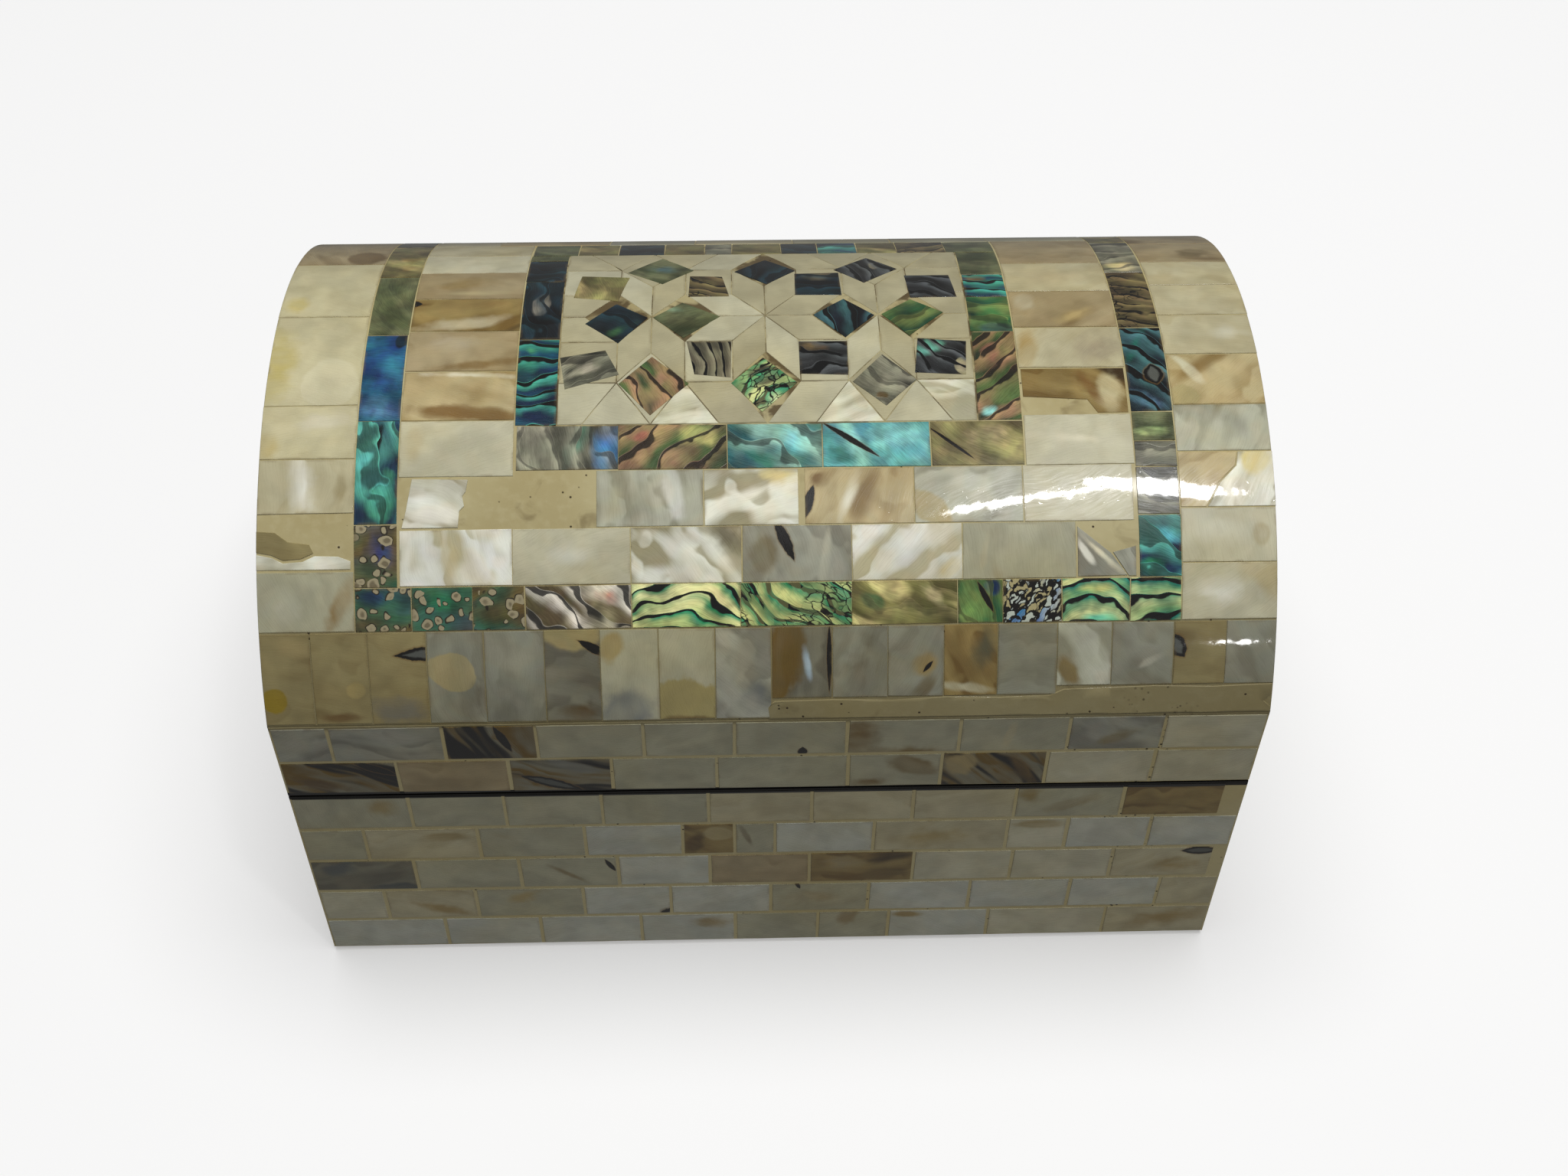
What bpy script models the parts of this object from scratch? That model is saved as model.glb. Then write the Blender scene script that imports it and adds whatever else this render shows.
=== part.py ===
"""A small domed jewelry box of wood, veneered all over with shell tiles.

Metres, +Z up. X runs along the box, the front faces -Y, and the box stands on Z = 0.
The lid has a vaulted top with flat arched ends. It lifts off, and a lip on the base locates it.
"""

import math
import random

import bmesh
import bpy
from mathutils import Vector

# Outer size of the closed box
BOX_LENGTH = 0.150
BOX_DEPTH = 0.105
SEAM_HEIGHT = 0.044
LID_WALL_HEIGHT = 0.017
VAULT_RISE = 0.0345

# Wood under the veneer
BASE_WALL = 0.006
BASE_FLOOR = 0.005
LID_WALL = 0.006
VAULT_WOOD = 0.005
LIP_THICKNESS = 0.0025
LIP_HEIGHT = 0.0025

# Shell veneer, and the clearances round it
SHELL = 0.0012
CLEARANCE = 0.0003
FOOT_REVEAL = 0.0008
SEAM_REVEAL = 0.0002

# Courses on the upright walls
BASE_COURSE_COUNT = 5
LID_COURSE_COUNT = 2
ARCH_COURSE_COUNT = 4
TILE_LENGTH = 0.0162
JOINT_WOBBLE = 0.0007

# Where the first joint of a course falls, and the shortest piece at an end, as shares of a tile
WHOLE_TILE = 1.0
HALF_TILE = 0.5
LONG_HALF_TILE = 0.6
CORNER_TILE = 0.7
LEAST_TILE = 0.3

# Rows across the vault, measured along its curve, from its foot to the star panel
TALL_ROW = 0.0146
OUTER_BAND_ROW = 0.0066
NACRE_ROW = 0.0086
INNER_BAND_ROW = 0.0070
TALL_TILE = 0.00835

# Columns over the vault, measured along X, from its ends to the star panel
END_BORDER = 0.0144
OUTER_BAND_COLUMN = 0.0064
NACRE_COLUMN = 0.0165
INNER_BAND_COLUMN = 0.0065
COLUMN_TILE = 0.0088
BAND_TILE = 0.0160

# Joints between tiles show as shallow grooves
GROOVE_WIDTH = 0.0006
GROOVE_DEPTH = 0.00025

# Star panel: how many sides of a tile lie between its middle and its end, and the strip of
# putty that closes it towards the front and the back
STAR_SIDES_ACROSS = 4.29
PUTTY_STRIP = 0.0016

# Longest chord that stands for a piece of the vault's curve
VAULT_CHORD = 0.0050

# Sizes that follow from those above
HALF_LENGTH = BOX_LENGTH / 2
HALF_DEPTH = BOX_DEPTH / 2
CREASE_HEIGHT = SEAM_HEIGHT + LID_WALL_HEIGHT
VAULT_RADIUS = (HALF_DEPTH ** 2 + VAULT_RISE ** 2) / (2 * VAULT_RISE)
VAULT_CENTRE = CREASE_HEIGHT + VAULT_RISE - VAULT_RADIUS
VAULT_ARC = VAULT_RADIUS * math.atan2(HALF_DEPTH, CREASE_HEIGHT - VAULT_CENTRE)
SKIN = SHELL + CLEARANCE
WOOD_X = HALF_LENGTH - SKIN
WOOD_Y = HALF_DEPTH - SKIN
WOOD_RADIUS = VAULT_RADIUS - SKIN
BASE_RIM = SEAM_HEIGHT - CLEARANCE / 2
LID_RIM = SEAM_HEIGHT + CLEARANCE / 2

# Colours and gloss, as seen under the lacquer
NACRE = (0.66, 0.60, 0.47)
SHADED_NACRE = (0.58, 0.53, 0.43)
ABALONE = (0.10, 0.24, 0.22)
BONE_WHITE = (0.74, 0.69, 0.56)
BLACK_WOOD = (0.018, 0.014, 0.012)
LACQUER_ROUGHNESS = 0.22
WOOD_ROUGHNESS = 0.55


def clear_scene():
    """Take every object out of the open file."""
    for thing in list(bpy.data.objects):
        bpy.data.objects.remove(thing, do_unlink=True)


def paint(thing, colour, roughness):
    """Give an object its own principled material."""
    material = bpy.data.materials.new(thing.name)
    material.use_nodes = True
    shader = material.node_tree.nodes["Principled BSDF"]
    shader.inputs["Base Color"].default_value = (*colour, 1.0)
    shader.inputs["Roughness"].default_value = roughness
    shader.inputs["Metallic"].default_value = 0.0
    thing.data.materials.append(material)


def add_object(name, mesh_maker):
    """Turn a bmesh into a named object with clean, outward faces."""
    bmesh.ops.remove_doubles(mesh_maker, verts=mesh_maker.verts, dist=1e-6)
    bmesh.ops.dissolve_limit(mesh_maker, angle_limit=math.radians(0.02), verts=mesh_maker.verts,
                             edges=mesh_maker.edges)
    bmesh.ops.recalc_face_normals(mesh_maker, faces=mesh_maker.faces)
    mesh = bpy.data.meshes.new(name)
    mesh_maker.to_mesh(mesh)
    mesh_maker.free()
    thing = bpy.data.objects.new(name, mesh)
    bpy.context.scene.collection.objects.link(thing)
    return thing


def loft(name, sections):
    """Join like sections, each a ring of points, into one closed body with flat ends."""
    maker = bmesh.new()
    rings = [[maker.verts.new(point) for point in section] for section in sections]
    count = len(rings[0])
    for near, far in zip(rings, rings[1:]):
        for i in range(count):
            j = (i + 1) % count
            maker.faces.new((near[i], near[j], far[j], far[i]))
    maker.faces.new(reversed(rings[0]))
    maker.faces.new(rings[-1])
    return add_object(name, maker)


def tile_joints(start, end, tile, shift, name):
    """Places of the joints between tiles: one every tile, a little uneven, none close to an end."""
    rule = random.Random(name)
    joints = []
    place = start + shift * tile
    while place < end - LEAST_TILE * tile:
        joint = place + rule.uniform(-JOINT_WOBBLE, JOINT_WOBBLE)
        if joint > start + LEAST_TILE * tile:
            joints.append(joint)
        place += tile
    return joints


def groove_stations(start, end, joints, extra=()):
    """Stations along a course, each with the depth of its groove there."""
    stations = {start: 0.0, end: 0.0}
    for joint in joints:
        stations[joint - GROOVE_WIDTH / 2] = 0.0
        stations[joint] = GROOVE_DEPTH
        stations[joint + GROOVE_WIDTH / 2] = 0.0
    for place in extra:
        if all(abs(place - joint) > GROOVE_WIDTH for joint in joints):
            stations[place] = 0.0
    return sorted(stations.items())


def vault_point(x, along, radius):
    """Point over the vault: along is the distance from the crown, positive towards the front."""
    angle = along / VAULT_RADIUS
    return Vector((x, -radius * math.sin(angle), VAULT_CENTRE + radius * math.cos(angle)))


def curve_steps(start, end):
    """Even steps along the vault's curve, none longer than the longest chord."""
    count = max(1, math.ceil((end - start) / VAULT_CHORD))
    return [start + (end - start) * i / count for i in range(count + 1)]


def wall_course(name, start, end, low, high, place, outward, colour, shift):
    """A strip of tiles on an upright wall. place turns (along, out, height) into a point."""
    joints = tile_joints(start, end, TILE_LENGTH, shift, name)
    sections = []
    for along, depth in groove_stations(start, end, joints):
        face = outward - depth
        back = outward - SHELL
        sections.append([place(along, face, low), place(along, face, high),
                         place(along, back, high), place(along, back, low)])
    paint(loft(name, sections), colour, LACQUER_ROUGHNESS)


def front_place(along, out, height):
    """A point on the front wall."""
    return Vector((along, -out, height))


def back_place(along, out, height):
    """A point on the back wall."""
    return Vector((along, out, height))


def left_place(along, out, height):
    """A point on the left end."""
    return Vector((-out, along, height))


def right_place(along, out, height):
    """A point on the right end."""
    return Vector((out, along, height))


def stack_courses(label, low, high, count, colour):
    """Courses of one stretch of wall, all the way round, joints staggered from course to course."""
    step = (high - low) / count
    end_reach = WOOD_Y
    for number in range(count):
        # Course 1 is the top one
        bottom = high - (number + 1) * step + (CLEARANCE / 2 if number < count - 1 else 0.0)
        top = high - number * step - (CLEARANCE / 2 if number > 0 else 0.0)
        shift = HALF_TILE if number % 2 else WHOLE_TILE
        wall_course(f"{label}_front_course_{number + 1}", -HALF_LENGTH, HALF_LENGTH, bottom, top,
                    front_place, HALF_DEPTH, colour, shift)
        wall_course(f"{label}_back_course_{number + 1}", -HALF_LENGTH, HALF_LENGTH, bottom, top,
                    back_place, HALF_DEPTH, colour, shift)
        wall_course(f"{label}_left_course_{number + 1}", -end_reach, end_reach, bottom, top,
                    left_place, HALF_LENGTH, colour, shift)
        wall_course(f"{label}_right_course_{number + 1}", -end_reach, end_reach, bottom, top,
                    right_place, HALF_LENGTH, colour, shift)


def arch_reach(height):
    """How far the arched end spreads to each side at a height, under the vault's veneer."""
    rise = height - VAULT_CENTRE
    return math.sqrt(max(WOOD_RADIUS ** 2 - rise ** 2, 0.0))


def arch_course(name, low, high, place, colour, shift):
    """A strip of tiles in an arched end, cut to the curve at its two tips."""
    low_reach = min(arch_reach(low), WOOD_Y)
    high_reach = arch_reach(high)
    joints = [j for j in tile_joints(-low_reach, low_reach, TILE_LENGTH, shift, name)
              if abs(abs(j) - high_reach) > GROOVE_WIDTH and abs(j) < low_reach - GROOVE_WIDTH]
    steps = max(1, math.ceil((low_reach - high_reach) / VAULT_CHORD))
    cut = [high_reach + (low_reach - high_reach) * i / steps for i in range(steps)]
    sections = []
    for along, depth in groove_stations(-low_reach, low_reach, joints, cut + [-c for c in cut]):
        curve = VAULT_CENTRE + math.sqrt(max(WOOD_RADIUS ** 2 - along ** 2, 0.0))
        top = min(high, curve)
        if abs(along) == low_reach and low_reach < WOOD_Y:
            top = low
        face = HALF_LENGTH - depth
        back = HALF_LENGTH - SHELL
        sections.append([place(along, face, low), place(along, face, top),
                         place(along, back, top), place(along, back, low)])
    paint(loft(name, sections), colour, LACQUER_ROUGHNESS)


def vault_row(name, near, far, left, right, tile, shift, colour):
    """A strip of tiles that runs along X over the vault, between two distances from the crown."""
    low = near + CLEARANCE / 2
    high = far - CLEARANCE / 2
    steps = curve_steps(low, high)
    joints = tile_joints(left, right, tile, shift, name)
    sections = []
    for x, depth in groove_stations(left, right, joints):
        outer = [vault_point(x, along, VAULT_RADIUS - depth) for along in steps]
        inner = [vault_point(x, along, VAULT_RADIUS - SHELL) for along in reversed(steps)]
        sections.append(outer + inner)
    paint(loft(name, sections), colour, LACQUER_ROUGHNESS)


def vault_column(name, left, right, reach, tile, shift, colour):
    """A strip of tiles that runs over the vault from back to front, between two places on X."""
    joints = tile_joints(-reach, reach, tile, shift, name)
    sections = []
    for along, depth in groove_stations(-reach, reach, joints, curve_steps(-reach, reach)):
        outer = VAULT_RADIUS - depth
        inner = VAULT_RADIUS - SHELL
        sections.append([vault_point(left, along, outer), vault_point(right, along, outer),
                         vault_point(right, along, inner), vault_point(left, along, inner)])
    paint(loft(name, sections), colour, LACQUER_ROUGHNESS)


def mirrored_pair(label, left, right, reach, tile, shift, colour):
    """The same column at both sides of the vault, left and right given for the right-hand one."""
    inner = left + CLEARANCE / 2
    outer = right - (CLEARANCE / 2 if right < HALF_LENGTH else 0.0)
    vault_column(f"{label}_right", inner, outer, reach, tile, shift, colour)
    vault_column(f"{label}_left", -outer, -inner, reach, tile, shift, colour)


def row_pair(label, near, far, half, tile, shift, colour, number=""):
    """The same row on the front and the back of the vault."""
    vault_row(f"{label}_front{number}", near, far, -half, half, tile, shift, colour)
    vault_row(f"{label}_back{number}", -far, -near, -half, half, tile, shift, colour)


def star_tiles(half_width):
    """Outlines of the star panel's tiles in its upper right quarter, in sides of one tile.

    Eight rhombi meet at the panel's middle, squares fill the notches between them, and a second
    star starts where two squares meet on the middle line.
    """
    a = math.sqrt(0.5)
    one, far, tip, next_side, last = 1.0, 1 + a, 1 + 2 * a, 1 + 3 * a, 1 + 4 * a
    top = tip
    quarter = [
        [(0, 0), (one, 0), (far, a), (a, a)],
        [(0, 0), (a, a), (a, far), (0, one)],
        [(a, a), (far, a), (far, far), (a, far)],
        [(tip, 0), (tip, one), (far, far), (far, a)],
        [(tip, 0), (next_side, a), (next_side, far), (tip, one)],
        [(tip, one), (next_side, far), (tip, top), (far, far)],
        [(next_side, a), (half_width, a), (half_width, far), (next_side, far)],
        [(last, 0), (half_width, 0), (half_width, a), (next_side, a)],
        [(a, far), (far, far), (one, top), (0, top)],
        [(far, far), (tip, top), (one, top)],
        [(next_side, far), (last, top), (tip, top)],
        [(next_side, far), (half_width, far), (half_width, top), (last, top)],
    ]
    # Squares that stand on the middle lines are given whole, once
    on_x_line = [
        [(one, 0), (far, -a), (tip, 0), (far, a)],
        [(tip, 0), (next_side, -a), (last, 0), (next_side, a)],
    ]
    on_y_line = [[(0, one), (a, far), (0, top), (-a, far)]]
    tiles = []
    for sign_x in (1, -1):
        for sign_y in (1, -1):
            tiles += [[(x * sign_x, y * sign_y) for x, y in tile] for tile in quarter]
        tiles += [[(x * sign_x, y) for x, y in tile] for tile in on_x_line]
    for sign_y in (1, -1):
        tiles += [[(x, y * sign_y) for x, y in tile] for tile in on_y_line]
    return tiles, top


def star_panel(name, half_length, half_arc, colour):
    """The middle panel: one plate with a groove along every joint of its star pattern."""
    tiles, top = star_tiles(STAR_SIDES_ACROSS)
    side_x = half_length / STAR_SIDES_ACROSS
    edge = half_arc - PUTTY_STRIP
    side_y = edge / top
    flat = [[(x * side_x, y * side_y) for x, y in tile] for tile in tiles]
    marks = sorted({round(x, 9) for tile in flat for x, y in tile if abs(y - edge) < 1e-9})
    strip = [(x, edge) for x in marks] + [(half_length, half_arc), (-half_length, half_arc)]
    flat.append(strip)
    flat.append([(x, -y) for x, y in strip])

    maker = bmesh.new()
    corners = {}

    def corner(point, layer):
        """One shared vertex for each corner of the pattern, on the face or on the back."""
        key = (round(point[0], 6), round(point[1], 6), layer)
        if key not in corners:
            radius = VAULT_RADIUS - (GROOVE_DEPTH if layer == "face" else SHELL)
            corners[key] = maker.verts.new(vault_point(point[0], point[1], radius))
        return corners[key]

    borders = {}
    for tile in flat:
        area = sum(p[0] * q[1] - q[0] * p[1] for p, q in zip(tile, tile[1:] + tile[:1]))
        outline = tile if area > 0 else tile[::-1]
        count = len(outline)
        raised = inset_outline(outline, GROOVE_WIDTH / 2)
        upper = [maker.verts.new(vault_point(x, y, VAULT_RADIUS)) for x, y in raised]
        rim = [corner(point, "face") for point in outline]
        maker.faces.new(upper)
        for i in range(count):
            j = (i + 1) % count
            maker.faces.new((rim[i], rim[j], upper[j], upper[i]))
            borders[(outline[i], outline[j])] = (rim[i], rim[j])
        maker.faces.new([corner(point, "back") for point in reversed(outline)])

    # Close the rim of the plate, along every side that no other tile shares
    def key_of(start, end):
        return tuple(round(v, 6) for v in start + end)

    shared = {key_of(end, start) for start, end in borders}
    for (start, end), (first, second) in borders.items():
        if key_of(start, end) not in shared:
            maker.faces.new((second, first, corner(start, "back"), corner(end, "back")))
    paint(add_object(name, maker), colour, LACQUER_ROUGHNESS)


def inset_outline(outline, margin):
    """Move every side of a convex outline inwards by the margin."""
    count = len(outline)
    result = []
    for i in range(count):
        before = Vector(outline[i - 1])
        here = Vector(outline[i])
        after = Vector(outline[(i + 1) % count])
        into = (here - before).normalized()
        out = (after - here).normalized()
        turn = into.x * out.y - into.y * out.x
        inward_before = Vector((-into.y, into.x))
        if turn < 1e-6:
            moved = here + inward_before * margin
        else:
            inward_after = Vector((-out.y, out.x))
            moved = here + (inward_before + inward_after) * margin / (1 + inward_before.dot(inward_after))
        result.append((moved.x, moved.y))
    return result


def rectangle(half_x, half_y, height):
    """The corners of a level rectangle about the Z axis."""
    return [Vector((-half_x, -half_y, height)), Vector((half_x, -half_y, height)),
            Vector((half_x, half_y, height)), Vector((-half_x, half_y, height))]


def base_carcass():
    """Wooden box with a floor, four walls and the lip that locates the lid."""
    inside_x = WOOD_X - BASE_WALL
    inside_y = WOOD_Y - BASE_WALL
    lip_top = BASE_RIM + LIP_HEIGHT
    sections = [
        rectangle(WOOD_X, WOOD_Y, 0.0),
        rectangle(WOOD_X, WOOD_Y, BASE_RIM),
        rectangle(inside_x + LIP_THICKNESS, inside_y + LIP_THICKNESS, BASE_RIM),
        rectangle(inside_x + LIP_THICKNESS, inside_y + LIP_THICKNESS, lip_top),
        rectangle(inside_x, inside_y, lip_top),
        rectangle(inside_x, inside_y, BASE_FLOOR),
    ]
    paint(loft("base_carcass", sections), BLACK_WOOD, WOOD_ROUGHNESS)


def vault_outline(half_depth, low, radius):
    """Outline of the lid across its length: upright sides under an arc."""
    spring = math.asin(half_depth / radius)
    count = math.ceil(2 * spring * radius / VAULT_CHORD)
    outline = [(-half_depth, low)]
    for i in range(count + 1):
        angle = -spring + 2 * spring * i / count
        outline.append((radius * math.sin(angle), VAULT_CENTRE + radius * math.cos(angle)))
    outline.append((half_depth, low))
    return outline


def lid_carcass():
    """Wooden lid: a vault on four walls, hollow below, with a rebate for the base's lip."""
    outside = vault_outline(WOOD_Y, LID_RIM, WOOD_RADIUS)
    body = loft("lid_carcass", [[Vector((x, y, z)) for y, z in outside] for x in (-WOOD_X, WOOD_X)])
    paint(body, BLACK_WOOD, WOOD_ROUGHNESS)

    below = LID_RIM - LID_WALL
    inside_x = WOOD_X - LID_WALL
    hollow = vault_outline(WOOD_Y - LID_WALL, below, WOOD_RADIUS - VAULT_WOOD)
    cutter = loft("lid_hollow", [[Vector((x, y, z)) for y, z in hollow] for x in (-inside_x, inside_x)])

    rebate_x = WOOD_X - BASE_WALL + LIP_THICKNESS + CLEARANCE
    rebate_y = WOOD_Y - BASE_WALL + LIP_THICKNESS + CLEARANCE
    rebate_top = BASE_RIM + LIP_HEIGHT + CLEARANCE
    rebate = loft("lid_rebate", [rectangle(rebate_x, rebate_y, z) for z in (below, rebate_top)])
    for tool in (cutter, rebate):
        tool.hide_render = True
        tool.display_type = "WIRE"
        cut = body.modifiers.new(tool.name, "BOOLEAN")
        cut.operation = "DIFFERENCE"
        cut.solver = "EXACT"
        cut.object = tool


def vault_veneer():
    """Everything laid over the vault, from its foot up to the star panel."""
    foot = VAULT_ARC
    row_pair("tall_row", foot - TALL_ROW, foot, HALF_LENGTH, TALL_TILE, WHOLE_TILE, NACRE)
    border = foot - TALL_ROW
    column = HALF_LENGTH
    reach = border - CLEARANCE / 2
    mirrored_pair("end_border", column - END_BORDER, column, reach, COLUMN_TILE, WHOLE_TILE, NACRE)

    column -= END_BORDER
    reach = border - OUTER_BAND_ROW - CLEARANCE / 2
    half = column - CLEARANCE / 2
    row_pair("outer_band", border - OUTER_BAND_ROW, border, half, BAND_TILE, CORNER_TILE, ABALONE)
    mirrored_pair("outer_band", column - OUTER_BAND_COLUMN, column, reach, BAND_TILE, WHOLE_TILE, ABALONE)

    border -= OUTER_BAND_ROW
    column -= OUTER_BAND_COLUMN
    half = column - CLEARANCE / 2
    for number, shift in ((2, WHOLE_TILE), (1, LONG_HALF_TILE)):
        row_pair("nacre_row", border - NACRE_ROW, border, half, TILE_LENGTH, shift, NACRE, f"_{number}")
        border -= NACRE_ROW
    reach = border - CLEARANCE / 2
    mirrored_pair("nacre_column", column - NACRE_COLUMN, column, reach, COLUMN_TILE, WHOLE_TILE, NACRE)

    column -= NACRE_COLUMN
    half = column - CLEARANCE / 2
    reach = border - INNER_BAND_ROW - CLEARANCE / 2
    row_pair("inner_band", border - INNER_BAND_ROW, border, half, BAND_TILE, WHOLE_TILE, ABALONE)
    mirrored_pair("inner_band", column - INNER_BAND_COLUMN, column, reach, BAND_TILE, WHOLE_TILE, ABALONE)

    border -= INNER_BAND_ROW
    column -= INNER_BAND_COLUMN
    star_panel("star_panel", column - CLEARANCE / 2, border - CLEARANCE / 2, BONE_WHITE)


def wall_veneer():
    """The courses on the upright walls of the base and of the lid, and in the lid's arched ends."""
    stack_courses("base", FOOT_REVEAL, BASE_RIM - SEAM_REVEAL, BASE_COURSE_COUNT, SHADED_NACRE)

    # The lowest edge of the vault's veneer dips a little behind the crease
    dip = SHELL * (CREASE_HEIGHT - VAULT_CENTRE) / VAULT_RADIUS
    lid_top = CREASE_HEIGHT - dip - CLEARANCE
    stack_courses("lid", LID_RIM + SEAM_REVEAL, lid_top, LID_COURSE_COUNT, SHADED_NACRE)

    crown = VAULT_CENTRE + WOOD_RADIUS
    step = (crown - lid_top) / ARCH_COURSE_COUNT
    for number in range(ARCH_COURSE_COUNT):
        low = lid_top + number * step + CLEARANCE / (2 if number else 1)
        high = lid_top + (number + 1) * step - CLEARANCE / 2
        if number == ARCH_COURSE_COUNT - 1:
            high = crown
        shift = HALF_TILE if number % 2 else WHOLE_TILE
        for side, place in (("left", left_place), ("right", right_place)):
            label = f"lid_{side}_arch_course_{number + 1}"
            arch_course(label, low, high, place, NACRE, shift)


clear_scene()
base_carcass()
lid_carcass()
wall_veneer()
vault_veneer()
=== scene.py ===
# Mother of pearl jewelry box: a domed wooden box, veneered all over with sawn shell.
# The carcass is black stained wood. Nacre and abalone tiles are bedded on it in cream putty,
# round a panel of eight-pointed stars, and the whole box is coated with clear lacquer.

import math
import random

import bmesh
import bpy
from mathutils import Matrix, Vector


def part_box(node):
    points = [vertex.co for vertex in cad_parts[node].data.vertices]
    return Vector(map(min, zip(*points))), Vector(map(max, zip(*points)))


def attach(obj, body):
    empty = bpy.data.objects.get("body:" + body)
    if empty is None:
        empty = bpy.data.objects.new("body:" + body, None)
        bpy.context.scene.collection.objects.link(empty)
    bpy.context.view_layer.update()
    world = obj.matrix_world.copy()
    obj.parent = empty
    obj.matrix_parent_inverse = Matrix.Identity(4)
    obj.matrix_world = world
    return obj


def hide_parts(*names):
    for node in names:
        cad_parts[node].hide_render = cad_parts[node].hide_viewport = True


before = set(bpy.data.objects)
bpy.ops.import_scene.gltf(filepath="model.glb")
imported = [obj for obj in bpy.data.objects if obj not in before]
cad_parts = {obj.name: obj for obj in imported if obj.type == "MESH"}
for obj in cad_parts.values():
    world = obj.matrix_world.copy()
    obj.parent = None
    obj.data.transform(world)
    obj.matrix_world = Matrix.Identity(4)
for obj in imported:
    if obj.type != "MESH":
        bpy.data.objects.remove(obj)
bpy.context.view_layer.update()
scene = bpy.context.scene

# Camera, where the photographer stood: above the front of the box, looking down at the lid.
# Its place, its two angles and its slight roll bring every corner of the box to where it is seen.
CAMERA_PLACE = Vector((-0.004777, -0.229266, 0.281358))
CAMERA_PITCH = math.radians(47.243)
CAMERA_YAW = math.radians(2.0533)
CAMERA_ROLL = math.radians(0.6907)

ahead = Vector((math.sin(CAMERA_YAW) * math.cos(CAMERA_PITCH), math.cos(CAMERA_YAW) * math.cos(CAMERA_PITCH),
                -math.sin(CAMERA_PITCH)))
level = Vector((math.cos(CAMERA_YAW), -math.sin(CAMERA_YAW), 0.0))
upright = level.cross(ahead)
camera_right = level * math.cos(CAMERA_ROLL) + upright * math.sin(CAMERA_ROLL)
camera_up = upright * math.cos(CAMERA_ROLL) - level * math.sin(CAMERA_ROLL)
camera = bpy.data.objects.new("camera", bpy.data.cameras.new("camera"))
camera.data.sensor_width = 36.0
camera.data.lens = 43.395
camera.data.clip_start = 0.01
camera.matrix_world = Matrix((camera_right, camera_up, -ahead)).transposed().to_4x4()
camera.location = CAMERA_PLACE
scene.collection.objects.link(camera)
scene.camera = camera
scene.view_settings.view_transform = "Standard"

# Studio: a plain white floor and backdrop, a wide soft light overhead, a low one at the front right, and
# three small lamps up to the right, which the lacquer mirrors as a bright streak and a glint on the vault.
FLOOR_REACH = 8.0
FLOOR_PAINT = 0.70
FLOOR_GLOW = 0.36
ROOM_LIGHT = 0.12
BACKDROP = 0.38

floor_mesh = bpy.data.meshes.new("studio_floor")
floor_mesh.from_pydata([(x * FLOOR_REACH, y * FLOOR_REACH, 0.0)
                        for x, y in ((-1, -1), (1, -1), (1, 1), (-1, 1))],
                       [], [(0, 1, 2, 3)])
floor = bpy.data.objects.new("studio_floor", floor_mesh)
scene.collection.objects.link(floor)
floor_paint = bpy.data.materials.new("studio_white")
floor_paint.use_nodes = True
floor_shader = floor_paint.node_tree.nodes["Principled BSDF"]
floor_shader.inputs["Base Color"].default_value = (FLOOR_PAINT, FLOOR_PAINT, FLOOR_PAINT, 1.0)
floor_shader.inputs["Roughness"].default_value = 0.9
floor_shader.inputs["Specular IOR Level"].default_value = 0.0
floor_shader.inputs["Emission Color"].default_value = (1.0, 1.0, 1.0, 1.0)
floor_shader.inputs["Emission Strength"].default_value = FLOOR_GLOW
floor_mesh.materials.append(floor_paint)
floor.visible_diffuse = False
floor.visible_glossy = False

world = bpy.data.worlds.new("studio_room")
world.use_nodes = True
world.node_tree.nodes["Background"].inputs["Color"].default_value = (1.0, 0.99, 0.97, 1.0)
room = world.node_tree
seen = room.nodes.new("ShaderNodeMapRange")
seen.inputs["To Min"].default_value = ROOM_LIGHT
seen.inputs["To Max"].default_value = BACKDROP
room.links.new(room.nodes.new("ShaderNodeLightPath").outputs["Is Camera Ray"], seen.inputs["Value"])
room.links.new(seen.outputs[0], room.nodes["Background"].inputs["Strength"])
scene.world = world


def studio_lamp(name, place, size, watts, mirrored, turn=0.0):
    """An oval lamp that points at the box; only a mirrored one shows in the lacquer."""
    lamp = bpy.data.objects.new(name, bpy.data.lights.new(name, "AREA"))
    lamp.data.shape = "ELLIPSE"
    lamp.data.size, lamp.data.size_y = size
    lamp.data.energy = watts
    aim = (Vector(place) - Vector((0.0, 0.0, 0.06))).to_track_quat("Z", "Y").to_matrix()
    lamp.matrix_world = (aim @ Matrix.Rotation(math.radians(turn), 3, "Z")).to_4x4()
    lamp.location = place
    lamp.visible_glossy = mirrored
    scene.collection.objects.link(lamp)


studio_lamp("overhead_light", (0.05, 0.12, 1.47), (1.3, 0.9), 15.6, False)
studio_lamp("low_fill", (0.95, -1.30, 0.16), (0.9, 0.4), 2.5, False)
studio_lamp("streak_tail", (0.272, -0.595, 1.49), (0.255, 0.036), 0.75, True, 29.0)
studio_lamp("streak_head", (0.395, -0.500, 1.50), (0.085, 0.20), 1.5, True)
studio_lamp("low_window", (1.10, -3.7, 1.42), (0.05, 0.08), 0.45, True)


# Carcass: the two wooden shells, stained black, that carry the veneer. Only their rims show,
# as the black line of the seam, widened by painted shade on the tiles and putty beside it, and the bare
# insides show when the lid is off.
def put(tree, kind, feeds=None, **settings):
    """One node in a tree, with its settings, its values and its links."""
    node = tree.nodes.new(kind)
    for key, value in settings.items():
        setattr(node, key, value)
    for key, value in (feeds or {}).items():
        if isinstance(value, bpy.types.NodeSocket):
            tree.links.new(value, node.inputs[key])
        else:
            node.inputs[key].default_value = value
    return node


def calc(tree, operation, *values, clamp=False):
    """A sum on numbers."""
    return put(tree, "ShaderNodeMath", dict(enumerate(values)), operation=operation,
               use_clamp=clamp).outputs[0]


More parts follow.
